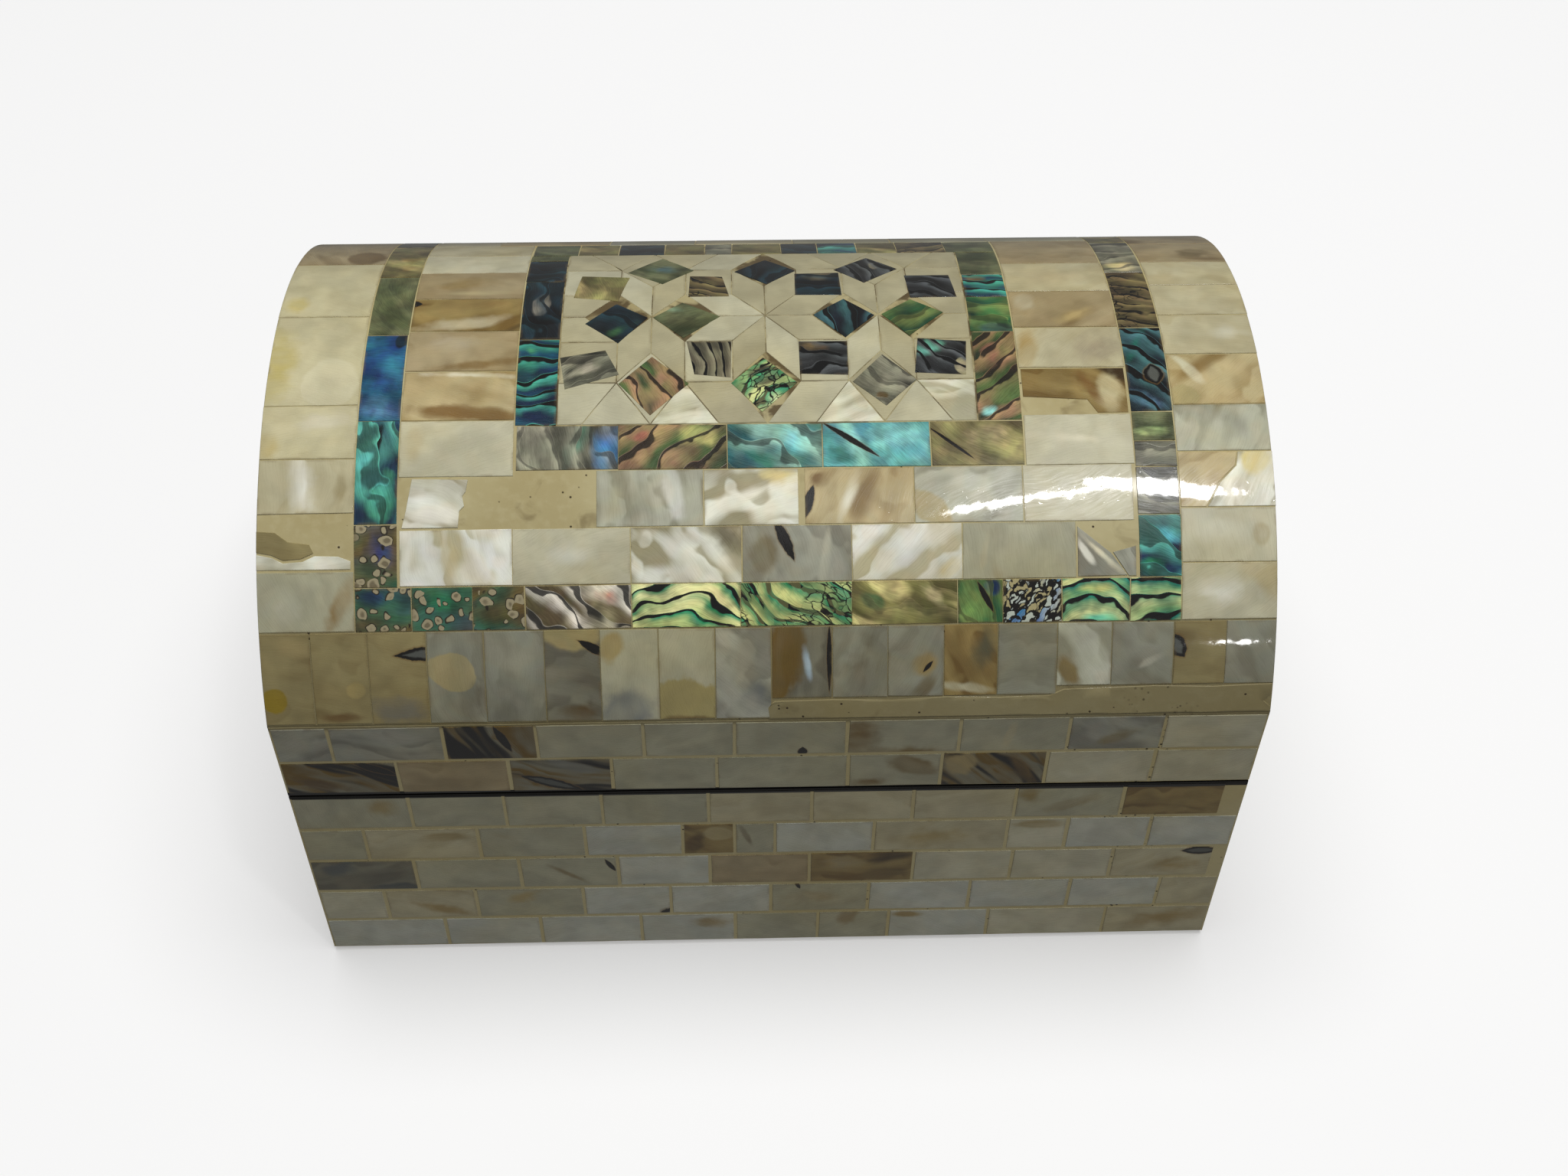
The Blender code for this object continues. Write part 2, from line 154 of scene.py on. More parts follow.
def move(tree, operation, first, second):
    """A sum on vectors."""
    return put(tree, "ShaderNodeVectorMath", {0: first, 1: second}, operation=operation).outputs[0]


def ease(tree, value, low, high, start=0.0, end=1.0):
    """A soft step: start below low, end above high."""
    return put(tree, "ShaderNodeMapRange",
               {"Value": value, "From Min": low, "From Max": high, "To Min": start,
                                            "To Max": end}, interpolation_type="SMOOTHSTEP").outputs[0]


def cloud(tree, where, scale, detail=2.0, warp=0.0):
    """Soft random patches between 0 and 1, and the same as three numbers."""
    node = put(tree, "ShaderNodeTexNoise",
               {"Vector": where, "Scale": scale, "Detail": detail, "Distortion": warp})
    return node.outputs["Fac"], node.outputs["Color"]


def laid_over(tree, amount, under, over, how="MIX"):
    """One colour laid over another."""
    node = put(tree, "ShaderNodeMix", {0: amount, 6: under, 7: over}, data_type="RGBA", blend_type=how)
    return node.outputs[2]


def display(red, green, blue, shade=1.0):
    """A colour written as it looks on a display, 0 to 255, made linear."""
    return tuple(((v / 255.0 + 0.055) / 1.055) ** 2.4 * shade if v > 10 else v / 3295.0 * shade
                 for v in (red, green, blue)) + (1.0,)


def new_finish(name):
    """An empty material with one shader on its output."""
    finish = bpy.data.materials.new(name)
    finish.use_nodes = True
    return finish, finish.node_tree, finish.node_tree.nodes["Principled BSDF"]


black_wood, tree, shader = new_finish("black_stained_wood")
spot_at = put(tree, "ShaderNodeTexCoord").outputs["Object"]
along_grain = move(tree, "MULTIPLY", spot_at, (60.0, 900.0, 900.0))
fibre, _ = cloud(tree, along_grain, 1.0, 4.0)
mottle, _ = cloud(tree, spot_at, 90.0, 3.0)
stain = laid_over(tree, ease(tree, fibre, 0.35, 0.7), (0.012, 0.010, 0.009, 1.0), (0.045, 0.034, 0.027, 1.0))
stain = laid_over(tree, ease(tree, mottle, 0.5, 0.8), stain, (0.024, 0.017, 0.012, 1.0))
tree.links.new(stain, shader.inputs["Base Color"])
tree.links.new(ease(tree, fibre, 0.3, 0.8, 0.38, 0.62), shader.inputs["Roughness"])
pores = put(tree, "ShaderNodeBump", {"Height": fibre, "Distance": 0.00006, "Strength": 0.7})
tree.links.new(pores.outputs[0], shader.inputs["Normal"])
for name in ("base_carcass", "lid_carcass"):
    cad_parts[name].material_slots[0].material = black_wood


# Putty: the cream filler that the tiles are bedded in. It covers the carcass like a skin a little
# below the tiles, so it shows in every joint, in the gaps left by lost tiles and over the crease.
MM = 0.001
BOX_LENGTH = 150.0
BOX_DEPTH = 105.0
VAULT_RISE = 34.5
VAULT_RADIUS = ((BOX_DEPTH / 2) ** 2 + VAULT_RISE ** 2) / (2 * VAULT_RISE)
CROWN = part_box("star_panel")[1].z / MM
VAULT_ARC = VAULT_RADIUS * math.asin(BOX_DEPTH / 2 / VAULT_RADIUS)
WALL_TOP = CROWN - VAULT_RISE
CREASE_TO_FLOOR = VAULT_ARC + WALL_TOP
PUTTY_DEPTH = 1.15
PUTTY_DROP = 0.12


def sawn_tree():
    """Turns flat outlines into blocks with rounded edges, each a little out of level, and bends them."""
    tree = bpy.data.node_groups.new("sawn_and_bedded", "GeometryNodeTree")
    sockets = (("Layout", "Geometry", None), ("Depth", "Float", 0.0004), ("Edge", "Float", 0.0001),
               ("Sink", "Float", 0.0), ("Uneven", "Float", 0.0), ("Tilt", "Float", 0.0),
               ("Ripple", "Float", 0.0),
               ("Bent", "Bool", True), ("Radius", "Float", 0.05), ("Centre", "Float", 0.04),
               ("Seed", "Int", 1),
               ("Finish", "Material", None))
    for label, kind, value in sockets:
        socket = tree.interface.new_socket(label, in_out="INPUT", socket_type="NodeSocket" + kind)
        if value is not None:
            socket.default_value = value
    tree.interface.new_socket("Blocks", in_out="OUTPUT", socket_type="NodeSocketGeometry")
    given = put(tree, "NodeGroupInput").outputs

    def attribute(name, kind):
        return put(tree, "GeometryNodeInputNamedAttribute", {"Name": name}, data_type=kind).outputs[0]

    drop = calc(tree, "MULTIPLY", calc(tree, "ADD", given["Depth"], given["Sink"]), -1.0)
    lowered = put(tree, "GeometryNodeSetPosition", {
        "Geometry": given["Layout"], "Offset": put(tree, "ShaderNodeCombineXYZ", {"Z": drop}).outputs[0]})
    body = put(tree, "GeometryNodeExtrudeMesh", {
        "Mesh": lowered.outputs[0], "Offset": (0.0, 0.0, 1.0), "Individual": False,
        "Offset Scale": calc(tree, "SUBTRACT", given["Depth"], given["Edge"])})
    face = put(tree, "GeometryNodeExtrudeMesh", {
        "Mesh": body.outputs["Mesh"], "Selection": body.outputs["Top"], "Offset": (0.0, 0.0, 1.0),
        "Individual": False, "Offset Scale": given["Edge"]})
    narrowing = put(tree, "ShaderNodeVectorMath",
                    {0: attribute("inward", "FLOAT_VECTOR"), "Scale": given["Edge"]},
                    operation="SCALE").outputs[0]
    where = put(tree, "GeometryNodeInputPosition").outputs[0]
    ripple = put(tree, "ShaderNodeTexNoise", {"Vector": where, "Scale": 260.0, "Detail": 3.0}).outputs["Fac"]
    dip = calc(tree, "MULTIPLY", ease(tree, ripple, 0.35, 0.75),
               calc(tree, "MULTIPLY", given["Ripple"], -1.0))
    shaped = put(tree, "GeometryNodeSetPosition", {
        "Geometry": face.outputs["Mesh"], "Selection": face.outputs["Top"],
        "Offset": move(tree, "ADD", narrowing, put(tree, "ShaderNodeCombineXYZ", {"Z": dip}).outputs[0])})
    under = put(tree, "GeometryNodeFlipFaces", {"Mesh": lowered.outputs[0]})
    both = put(tree, "GeometryNodeJoinGeometry")
    for part in (under, shaped):
        tree.links.new(part.outputs[0], both.inputs[0])
    whole = put(tree, "GeometryNodeMergeByDistance", {"Geometry": both.outputs[0], "Distance": 0.000001})

    number = attribute("tile", "INT")
    sag = put(tree, "FunctionNodeRandomValue", {2: 0.0, 3: 1.0, "ID": number, "Seed": given["Seed"]},
              data_type="FLOAT").outputs[1]
    lean = put(tree, "FunctionNodeRandomValue", {0: (-1.0, -1.0, 0.0), 1: (1.0, 1.0, 0.0), "ID": number,
                                                 "Seed": calc(tree, "ADD", given["Seed"], 7.0)},
               data_type="FLOAT_VECTOR").outputs[0]
    slope = put(tree, "ShaderNodeVectorMath", {0: lean, 1: attribute("span", "FLOAT_VECTOR")},
                operation="DOT_PRODUCT").outputs["Value"]
    tilt = calc(tree, "MULTIPLY", calc(tree, "SUBTRACT", slope, 13.0),
                calc(tree, "MULTIPLY", given["Tilt"], MM))
    fall = calc(tree, "SUBTRACT", tilt, calc(tree, "MULTIPLY", sag, given["Uneven"]))
    settled = move(tree, "ADD", where, put(tree, "ShaderNodeCombineXYZ", {"Z": fall}).outputs[0])
    flat = put(tree, "ShaderNodeSeparateXYZ", {0: settled}).outputs
    reach = calc(tree, "ADD", given["Radius"], flat["Z"])
    angle = calc(tree, "DIVIDE", flat["Y"], given["Radius"])
    arched = put(tree, "ShaderNodeCombineXYZ", {
        "X": flat["X"], "Y": calc(tree, "MULTIPLY", reach, calc(tree, "SINE", angle)),
        "Z": calc(tree, "ADD", given["Centre"], calc(tree, "MULTIPLY", reach, calc(tree, "COSINE", angle)))})
    chosen = put(tree, "GeometryNodeSwitch",
                 {"Switch": given["Bent"], "False": settled, "True": arched.outputs[0]},
                 input_type="VECTOR")
    placed = put(tree, "GeometryNodeSetPosition",
                 {"Geometry": whole.outputs[0], "Position": chosen.outputs[0]})
    real = put(tree, "GeometryNodeRealizeInstances", {"Geometry": placed.outputs[0]})
    painted = put(tree, "GeometryNodeSetMaterial", {"Geometry": real.outputs[0], "Material": given["Finish"]})
    output = put(tree, "NodeGroupOutput")
    tree.links.new(painted.outputs[0], output.inputs[0])
    return tree, {item.name: item.identifier for item in tree.interface.items_tree if item.in_out == "INPUT"}


SAWN, SAWN_INPUTS = sawn_tree()


def note_inward(sheet):
    """Stores at each rim vertex the way towards the inside of its outline, mitred at the corners."""
    inward = sheet.verts.layers.float_vector["inward"]
    for vertex in sheet.verts:
        normals = []
        for edge in vertex.link_edges:
            if len(edge.link_loops) == 1:
                loop = edge.link_loops[0]
                run = (loop.link_loop_next.vert.co - loop.vert.co).normalized()
                normals.append(Vector((-run.y, run.x, 0.0)))
        if len(normals) == 2:
            vertex[inward] = (normals[0] + normals[1]) / max(0.3, 1.0 + normals[0].dot(normals[1]))


def cut_across(sheet, step, axis):
    """Cuts the outlines into strips, so that they can follow the vault."""
    normal = Vector((0.0, 0.0, 0.0))
    normal[axis] = 1.0
    low = min(v.co[axis] for v in sheet.verts)
    high = max(v.co[axis] for v in sheet.verts)
    for k in range(math.ceil(low / step), math.floor(high / step) + 1):
        bmesh.ops.bisect_plane(sheet, geom=sheet.verts[:] + sheet.edges[:] + sheet.faces[:], dist=1e-7,
                               plane_co=normal * (k * step), plane_no=normal)


def bedded(name, sheet, finish, body="root", place=None, **sizes):
    """Makes the blocks from a sheet of outlines, sets them on the box and lets them ride on it."""
    mesh = bpy.data.meshes.new(name)
    sheet.to_mesh(mesh)
    sheet.free()
    piece = bpy.data.objects.new(name, mesh)
    scene.collection.objects.link(piece)
    sawn = piece.modifiers.new("sawn_and_bedded", "NODES")
    sawn.node_group = SAWN
    values = {"Bent": place is None, "Radius": VAULT_RADIUS * MM, "Centre": (CROWN - VAULT_RADIUS) * MM,
              "Finish": finish, **sizes}
    for label, value in values.items():
        sawn[SAWN_INPUTS[label]] = value
    view = bpy.context.evaluated_depsgraph_get()
    made = bpy.data.meshes.new_from_object(piece.evaluated_get(view), preserve_all_data_layers=True,
                                           depsgraph=view)
    piece.modifiers.clear()
    piece.data = made
    bpy.data.meshes.remove(mesh)
    made.name = name
    if place is not None:
        made.transform(place)
    made.shade_smooth()
    made.set_sharp_from_angle(angle=math.radians(35))
    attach(piece, body)
    return piece


def wall(across, out, distance):
    """Places a flat layout on one upright wall: x along it, y = 0 at the crown's height along the surface."""
    up = Vector((0.0, 0.0, 1.0))
    turn = Matrix((Vector(across), up, Vector(out))).transposed().to_4x4()
    return Matrix.Translation(Vector(out) * distance * MM + up * CREASE_TO_FLOOR * MM) @ turn


WALLS = {
    "front": wall((1, 0, 0), (0, -1, 0), BOX_DEPTH / 2), "back": wall((-1, 0, 0), (0, 1, 0), BOX_DEPTH / 2),
    "left": wall((0, -1, 0), (-1, 0, 0), BOX_LENGTH / 2), "right": wall((0, 1, 0), (1, 0, 0), BOX_LENGTH / 2),
}


def putty_sheet(outline, step=2.2):
    """One outline of putty, cut into small squares so that its surface can be uneven."""
    sheet = bmesh.new()
    sheet.verts.layers.float_vector.new("inward")
    sheet.verts.layers.float_vector.new("span")
    sheet.verts.layers.int.new("tile")
    sheet.faces.new([sheet.verts.new((x * MM, -s * MM, 0.0)) for x, s in outline])
    bmesh.ops.recalc_face_normals(sheet, faces=sheet.faces[:])
    if sheet.faces[0].normal.z < 0:
        bmesh.ops.reverse_faces(sheet, faces=sheet.faces[:])
    cut_across(sheet, step * MM, 0)
    cut_across(sheet, step * MM, 1)
    note_inward(sheet)
    return sheet


SEAM_HEIGHT = 0.0437
SEAM_SLOPE = -0.0047
SEAM_NARROWS = 0.002
SEAM_SHADE_AND_STAIN = (0.00068, 0.00080)


def aged_and_seam_shaded(tree, colour):
    """The lacquer over everything has yellowed in patches. Along the seam it is darkened near black: painted
    shade of the gap between lid and base, over the black stain of the rims.
    """
    spot_at = put(tree, "ShaderNodeTexCoord").outputs["Object"]
    patches, _ = cloud(tree, spot_at, 55.0, 3.0)
    colour = laid_over(tree, ease(tree, patches, 0.44, 0.70, 0.20, 0.55), colour, (0.97, 0.89, 0.66, 1.0),
                       "MULTIPLY")
    x, _, z = put(tree, "ShaderNodeSeparateXYZ", {0: spot_at}).outputs
    # The band along the seam, darkened near black: painted shade of the gap between lid and base.
    off = calc(tree, "ABSOLUTE",
               calc(tree, "SUBTRACT", z, calc(tree, "MULTIPLY_ADD", x, SEAM_SLOPE, SEAM_HEIGHT)))
    rim = calc(tree, "ADD", off, calc(tree, "MULTIPLY", x, SEAM_NARROWS))
    return laid_over(tree, ease(tree, rim, *SEAM_SHADE_AND_STAIN, 1.0, 0.0), colour, display(20, 17, 12))


PUTTY_CREASE = 0.0596
putty, tree, shader = new_finish("cream_putty")
spot_at = put(tree, "ShaderNodeTexCoord").outputs["Object"]
drift, _ = cloud(tree, spot_at, 45.0, 3.0)
grit, _ = cloud(tree, spot_at, 700.0, 3.0)
grime, _ = cloud(tree, spot_at, 210.0, 4.0, 0.6)
speck = put(tree, "ShaderNodeTexVoronoi", {"Vector": spot_at, "Scale": 860.0}).outputs
paste = laid_over(tree, ease(tree, drift, 0.35, 0.68), display(196, 186, 143), display(182, 169, 124))
paste = laid_over(tree, ease(tree, grit, 0.45, 0.75, 0.0, 0.25), paste, display(212, 204, 166))
paste = laid_over(tree, ease(tree, grime, 0.60, 0.78, 0.0, 0.6), paste, display(116, 98, 62))
side_here, _, height_here = put(tree, "ShaderNodeSeparateXYZ", {0: spot_at}).outputs
# Putty low on the vault, above the crease, is darkened: painted shade where the vault turns down towards the
# walls.
low_vault_shade = calc(tree, "MULTIPLY", ease(tree, height_here, 0.0725, 0.0775, 0.62, 0.0),
                 ease(tree, height_here, PUTTY_CREASE, 0.0608))
paste = laid_over(tree, low_vault_shade, paste, display(112, 104, 76))
# Putty on the walls, below the crease, is made paler: painted light that lifts the shade in its sunk joints.
walls_painted_light = ease(tree, height_here, PUTTY_CREASE, 0.0606, 0.5, 0.0)
paste = laid_over(tree, walls_painted_light, paste, display(224, 212, 166))
near_star = calc(tree, "MULTIPLY", ease(tree, height_here, 0.0905, 0.0918),
                 ease(tree, calc(tree, "ABSOLUTE", side_here), 0.0316, 0.0322, 1.0, 0.0))
paste = laid_over(tree, calc(tree, "MULTIPLY", near_star, ease(tree, grime, 0.42, 0.56, 0.15, 0.9)), paste,
                  display(84, 68, 44))
pits = put(tree, "ShaderNodeTexVoronoi", {"Vector": spot_at, "Scale": 1100.0}).outputs["Distance"]
pitted = calc(tree, "MULTIPLY",
              ease(tree, calc(tree, "ABSOLUTE", calc(tree, "SUBTRACT", side_here, 0.0585)), 0.0, 0.008,
                   1.0, 0.0),
              ease(tree, height_here, 0.0695, 0.0702, 1.0, 0.0))
pits = calc(tree, "MULTIPLY", calc(tree, "MULTIPLY", ease(tree, pits, 0.16, 0.30, 1.0, 0.0), pitted),
            ease(tree, grime, 0.45, 0.55))
paste = laid_over(tree, pits, paste, display(56, 46, 30))
chosen = ease(tree, put(tree, "ShaderNodeSeparateColor", {0: speck["Color"]}).outputs[0], 0.84, 0.86)
dots = calc(tree, "MULTIPLY", chosen, ease(tree, speck["Distance"], 0.08, 0.20, 1.0, 0.0))
paste = laid_over(tree, dots, paste, display(60, 48, 32))
tree.links.new(aged_and_seam_shaded(tree, paste), shader.inputs["Base Color"])
tree.links.new(ease(tree, grit, 0.3, 0.7, 0.34, 0.58), shader.inputs["Roughness"])
shader.inputs["Coat Weight"].default_value = 0.6
shader.inputs["Coat Roughness"].default_value = 0.12
lumps = calc(tree, "SUBTRACT", calc(tree, "ADD", grime, calc(tree, "MULTIPLY", grit, 0.3)), dots)
paste_bump = put(tree, "ShaderNodeBump", {"Height": lumps, "Distance": 0.00012, "Strength": 0.6})
tree.links.new(paste_bump.outputs[0], shader.inputs["Normal"])

PUTTY = {"Depth": PUTTY_DEPTH * MM, "Edge": 0.0002, "Sink": PUTTY_DROP * MM, "Ripple": 0.00005}
half_length = BOX_LENGTH / 2 - PUTTY_DROP
half_depth = BOX_DEPTH / 2 - PUTTY_DEPTH - PUTTY_DROP
VAULT_EDGE = VAULT_ARC - 0.1

vault_putty = bedded("vault_putty", putty_sheet([(-half_length, -VAULT_EDGE), (half_length, -VAULT_EDGE),
                                                 (half_length, VAULT_EDGE), (-half_length, VAULT_EDGE)]),
                     putty, **PUTTY)

smear = [(-0.4, 66.3), (-0.6, 64.4), (0.4, 63.35), (9.0, 63.2), (18.0, 63.45), (26.0, 63.0),
         (34.0, 63.25), (41.5, 63.0), (43.5, 62.1), (50.0, 61.95), (57.0, 61.75), (66.0, 62.0),
         (71.0, 61.8), (74.7, 61.7), (74.7, 63.4), (73.6, 64.5), (74.7, 65.4), (74.7, 66.3)]
crease_putty = bedded("crease_putty", putty_sheet(smear), putty,
                      **{**PUTTY, "Depth": 0.0003, "Edge": 0.0001, "Sink": 0.0, "Ripple": 0.00007})

LID_WALL = (CREASE_TO_FLOOR - WALL_TOP + 0.02, CREASE_TO_FLOOR - 43.95)
BASE_WALL = (CREASE_TO_FLOOR - 43.6, CREASE_TO_FLOOR - 0.8)


def wall_putty(part, side, outline):
    """The putty of one wall."""
    piece = bedded(part + "_" + side + "_putty", putty_sheet(outline), putty, place=WALLS[side], **PUTTY)


def arch(radius, low, steps=24):
    """Points along the arched top of an end wall, from one side to the other."""
    drop = VAULT_RADIUS - VAULT_RISE
    end = math.acos(drop / radius)
    points = []
    for k in range(steps + 1):
        angle = end * (1 - 2 * k / steps)
        points.append((radius * math.sin(angle),
                       CREASE_TO_FLOOR - CROWN + VAULT_RADIUS - radius * math.cos(angle)))
    return points


for side in ("front", "back"):
    for part, (top, bottom) in (("lid", LID_WALL), ("base", BASE_WALL)):
        wall_putty(part, side,
                   [(-half_length, top), (-half_length, bottom), (half_length, bottom), (half_length, top)])
for side in ("left", "right"):
    top, bottom = BASE_WALL
    wall_putty("base", side,
               [(-half_depth, top), (-half_depth, bottom), (half_depth, bottom), (half_depth, top)])
    bottom = LID_WALL[1]
    crown_line = arch(VAULT_RADIUS - PUTTY_DEPTH - PUTTY_DROP, LID_WALL[0])
    wall_putty("lid", side,
               [(half_depth, LID_WALL[0])] + crown_line
               + [(-half_depth, LID_WALL[0]), (-half_depth, bottom), (half_depth, bottom)])


# Nacre: mother of pearl, sawn to tiles about 16 by 8.5 mm. It is silky and layered: creamy or
# silver, folded into fans made bright partly by painted sheen, with honey and umber growth bands and now and
# then a black flaw.
# Each finish: its three colours, how much it folds, bands and shines, and how wide its folds are in mm.
NACRE_FINISHES = {
    "ivory": ((212, 205, 168), (198, 190, 152), (186, 168, 120), (0.6, 0.0, 0.2), 6.0),
    "cream": ((204, 197, 164), (186, 176, 140), (172, 154, 112), (0.7, 0.15, 0.2), 5.0),
    "chalk": ((212, 208, 182), (196, 192, 164), (186, 176, 138), (0.6, 0.0, 0.3), 6.0),
    "bone": ((188, 186, 160), (172, 170, 146), (166, 152, 112), (0.7, 0.15, 0.3), 6.0),
    # Pearl and moon are near white: the shell's own pale tone with painted sheen.
    "pearl": ((255, 255, 244), (172, 164, 134), (216, 192, 136), (1.0, 0.25, 0.7), 4.4),
    "silver": ((204, 204, 186), (150, 147, 126), (146, 130, 92), (0.9, 0.15, 0.7), 4.6),
    "smoke": ((178, 178, 164), (138, 136, 124), (112, 98, 66), (0.9, 0.2, 0.6), 4.5),
    "honey": ((206, 190, 146), (172, 150, 102), (146, 120, 70), (0.9, 0.4, 0.4), 5.0),
    "rose": ((180, 164, 128), (154, 136, 100), (118, 96, 58), (0.7, 0.3, 0.3), 5.0),
    "umber": ((164, 142, 88), (122, 97, 48), (66, 48, 20), (1.0, 0.4, 0.5), 4.0),
    # Tallow is a dark tan; along the front foot of the vault it is partly painted shade.
    "tallow": ((158, 146, 102), (140, 126, 84), (112, 94, 54), (0.8, 0.3, 0.2), 5.0),
    # Ash is a darker grey, laid only along the front foot of the vault: partly painted shade.
    "ash": ((156, 156, 140), (134, 132, 116), (118, 104, 72), (0.9, 0.2, 0.6), 4.5),
    # A darker copy of bone: painted shade, at the foot of the vault and at the left of the front.
    "dusk": ((138, 135, 118), (108, 104, 90), (94, 80, 54), (1.0, 0.2, 0.7), 4.0),
    "streaked": ((138, 136, 118), (118, 92, 16), (14, 10, 6), (1.0, 0.74, 0.1), 2.3),
    # A pale blue-white nacre, laid more often towards the foot of the base front: partly its own tone, partly
    # painted reflection of the floor in the lacquer.
    "milk": ((208, 210, 198), (196, 198, 184), (184, 180, 154), (0.6, 0.1, 0.4), 6.0),
    # Near white, as pearl: the shell's own pale tone with painted sheen.
    "moon": ((255, 255, 248), (206, 198, 168), (228, 208, 152), (1.0, 0.25, 0.7), 4.4),
}
JOINT = 0.07


def tile(outline, words, draw, dagger=None, spots=()):
    """One tile: outline, finish, how its grain turns and bends, and any flaw and spots."""
    finish, turn, bend = (words.split("/") + ["", ""])[:3]
    angle = float(turn) if turn else draw.uniform(-25, 25)
    return {"outline": outline, "finish": finish, "turn": math.radians(angle),
            "bend": float(bend) if bend else draw.uniform(-0.02, 0.02), "dagger": dagger, "spots": spots,
            "chance": (draw.uniform(0, 90), draw.uniform(0, 90), draw.uniform(0, 90)), "phase": draw.random()}


def brick(left, right, top, bottom, draw, joint=JOINT, stray=0.06):
    """The corners of a sawn tile, a little short of its neighbours and a little out of true."""
    corners = ((left + joint, top + joint), (left + joint, bottom - joint), (right - joint, bottom - joint),
               (right - joint, top + joint))
    return [(x + draw.uniform(-stray, stray), s + draw.uniform(-stray, stray)) for x, s in corners]


def course(edges, joints, finishes, draw, down=False, marks=None, joint=JOINT):
    """A course of tiles between two edges; the joints run along it, or down the vault."""
    tiles = []
    for k, words in enumerate(finishes.split()):
        ends = (joints[k], joints[k + 1])
        left, right, top, bottom = (*edges, *ends) if down else (*ends, *edges)
        outline = brick(left, right, top, bottom, draw, joint)
        tiles.append(tile(outline, words, draw, **(marks or {}).get(k, {})))
    return tiles


def by_rule(edges, start, end, length, mix, draw, shift=0.0, down=False, joint=JOINT):
    """A course on a side that is not seen: tiles of much the same length, in finishes drawn from a mix."""
    joints = [start]
    place = start + length * (1 - shift)
    while place < end - length * 0.35:
        joints.append(place + draw.uniform(-0.07, 0.07) * length)
        place += length
    joints.append(end)
    finishes = " ".join(draw.choice(mix.split()) for _ in joints[1:])
    return course(edges, joints, finishes, draw, down, joint=joint)


def local(point, centre, angle, reach):
    """Where a point lies in the frame of a turned mark, in its own sizes."""
    dx, ds = point[0] - centre[0], point[1] - centre[1]
    return ((dx * math.cos(angle) + ds * math.sin(angle)) / reach[0],
            (-dx * math.sin(angle) + ds * math.cos(angle)) / reach[1])


def tile_sheet(tiles, finishes, step=None):
    """The outlines of all tiles as one flat sheet, each with its colours, its grain and its flaws."""
    sheet = bmesh.new()
    vectors = {name: sheet.verts.layers.float_vector.new(name)
               for name in ("inward", "span", "half", "grain", "chance", "flow", "look", "dagger", "spot_1",
                            "spot_2")}
    colours = {name: sheet.verts.layers.float_color.new(name)
               for name in ("first", "second", "third", "stain_1", "stain_2")}
    number = sheet.verts.layers.int.new("tile")
    for k, one in enumerate(tiles):
        outline = one["outline"]
        area = sum(p[0] * q[1] - q[0] * p[1] for p, q in zip(outline, outline[1:] + outline[:1]))
        if area > 0:
            outline = outline[::-1]
        low = [min(p[i] for p in outline) for i in (0, 1)]
        high = [max(p[i] for p in outline) for i in (0, 1)]
        middle = ((low[0] + high[0]) / 2, (low[1] + high[1]) / 2)
        first, second, third, look, width = finishes[one["finish"]]
        corners = []
        for x, s in outline:
            vertex = sheet.verts.new((x * MM, -s * MM, 0.0))
            vertex[number] = k
            vertex[vectors["span"]] = (x - middle[0], middle[1] - s, 0.0)
            vertex[vectors["half"]] = ((high[0] - low[0]) / 2, (high[1] - low[1]) / 2,
                                       float(len(outline) == 4))
            vertex[vectors["grain"]] = (*local((x, s), middle, one["turn"], (1.0, 1.0)), 0.0)
            vertex[vectors["chance"]] = one["chance"]
            vertex[vectors["flow"]] = (one["bend"], 1.0 / width, one["phase"])
            vertex[vectors["look"]] = look
            vertex[vectors["dagger"]] = (9.0, 9.0, 0.0)
            if one["dagger"]:
                cx, cs, length, breadth, angle = one["dagger"]
                vertex[vectors["dagger"]] = (*local((x, s), (cx, cs), math.radians(angle), (length, breadth)),
                                             float(breadth > 1.1))
            shades = [("first", first), ("second", second), ("third", third)]
            for n in (0, 1):
                vertex[vectors["spot_%d" % (n + 1)]] = (9.0, 9.0, 0.0)
                if n < len(one["spots"]):
                    cx, cs, length, breadth, angle, softness, shade = one["spots"][n]
                    spot = local((x, s), (cx, cs), math.radians(angle), (length, breadth))
                    vertex[vectors["spot_%d" % (n + 1)]] = (*spot, softness)
                    shades.append(("stain_%d" % (n + 1), shade))
            for name, shade in shades:
                vertex[colours[name]] = display(*shade)
            corners.append(vertex)
        sheet.faces.new(corners)
    if step:
        cut_across(sheet, step * MM, 1)
    note_inward(sheet)
    return sheet


def felt(tree, name, output="Vector"):
    """Something that each tile carries: its own grain, colours or flaws."""
    return put(tree, "ShaderNodeAttribute", attribute_name=name).outputs[output]


def axes(tree, vector):
    """The three numbers of a vector."""
    return put(tree, "ShaderNodeSeparateXYZ", {0: vector}).outputs


def growth(tree, give):
    """A tile's own coordinates in mm, warped and bent as shell grows: along its layers and across."""
    where = move(tree, "ADD", felt(tree, "grain"), felt(tree, "chance"))
    _, push = cloud(tree, move(tree, "MULTIPLY", where, (0.10, 0.14, 1.0)), 1.0, 1.0)
    push = move(tree, "MULTIPLY", move(tree, "SUBTRACT", push, (0.5, 0.5, 0.5)), give)
    soft = axes(tree, move(tree, "ADD", felt(tree, "grain"), push))
    bend = calc(tree, "MULTIPLY", axes(tree, felt(tree, "flow"))[0], calc(tree, "POWER", soft[0], 2.0))
    return where, soft[0], calc(tree, "ADD", soft[1], bend)


def layered(tree, along, across, stretch, detail=1.0):
    """Random patches drawn out along the layers; stretch is how often they change, along and across."""
    laid = put(tree, "ShaderNodeCombineXYZ", {0: calc(tree, "MULTIPLY", along, stretch[0]),
                                              1: calc(tree, "MULTIPLY", across, stretch[1])}).outputs[0]
    return cloud(tree, move(tree, "ADD", laid, felt(tree, "chance")), 1.0, detail)[0]


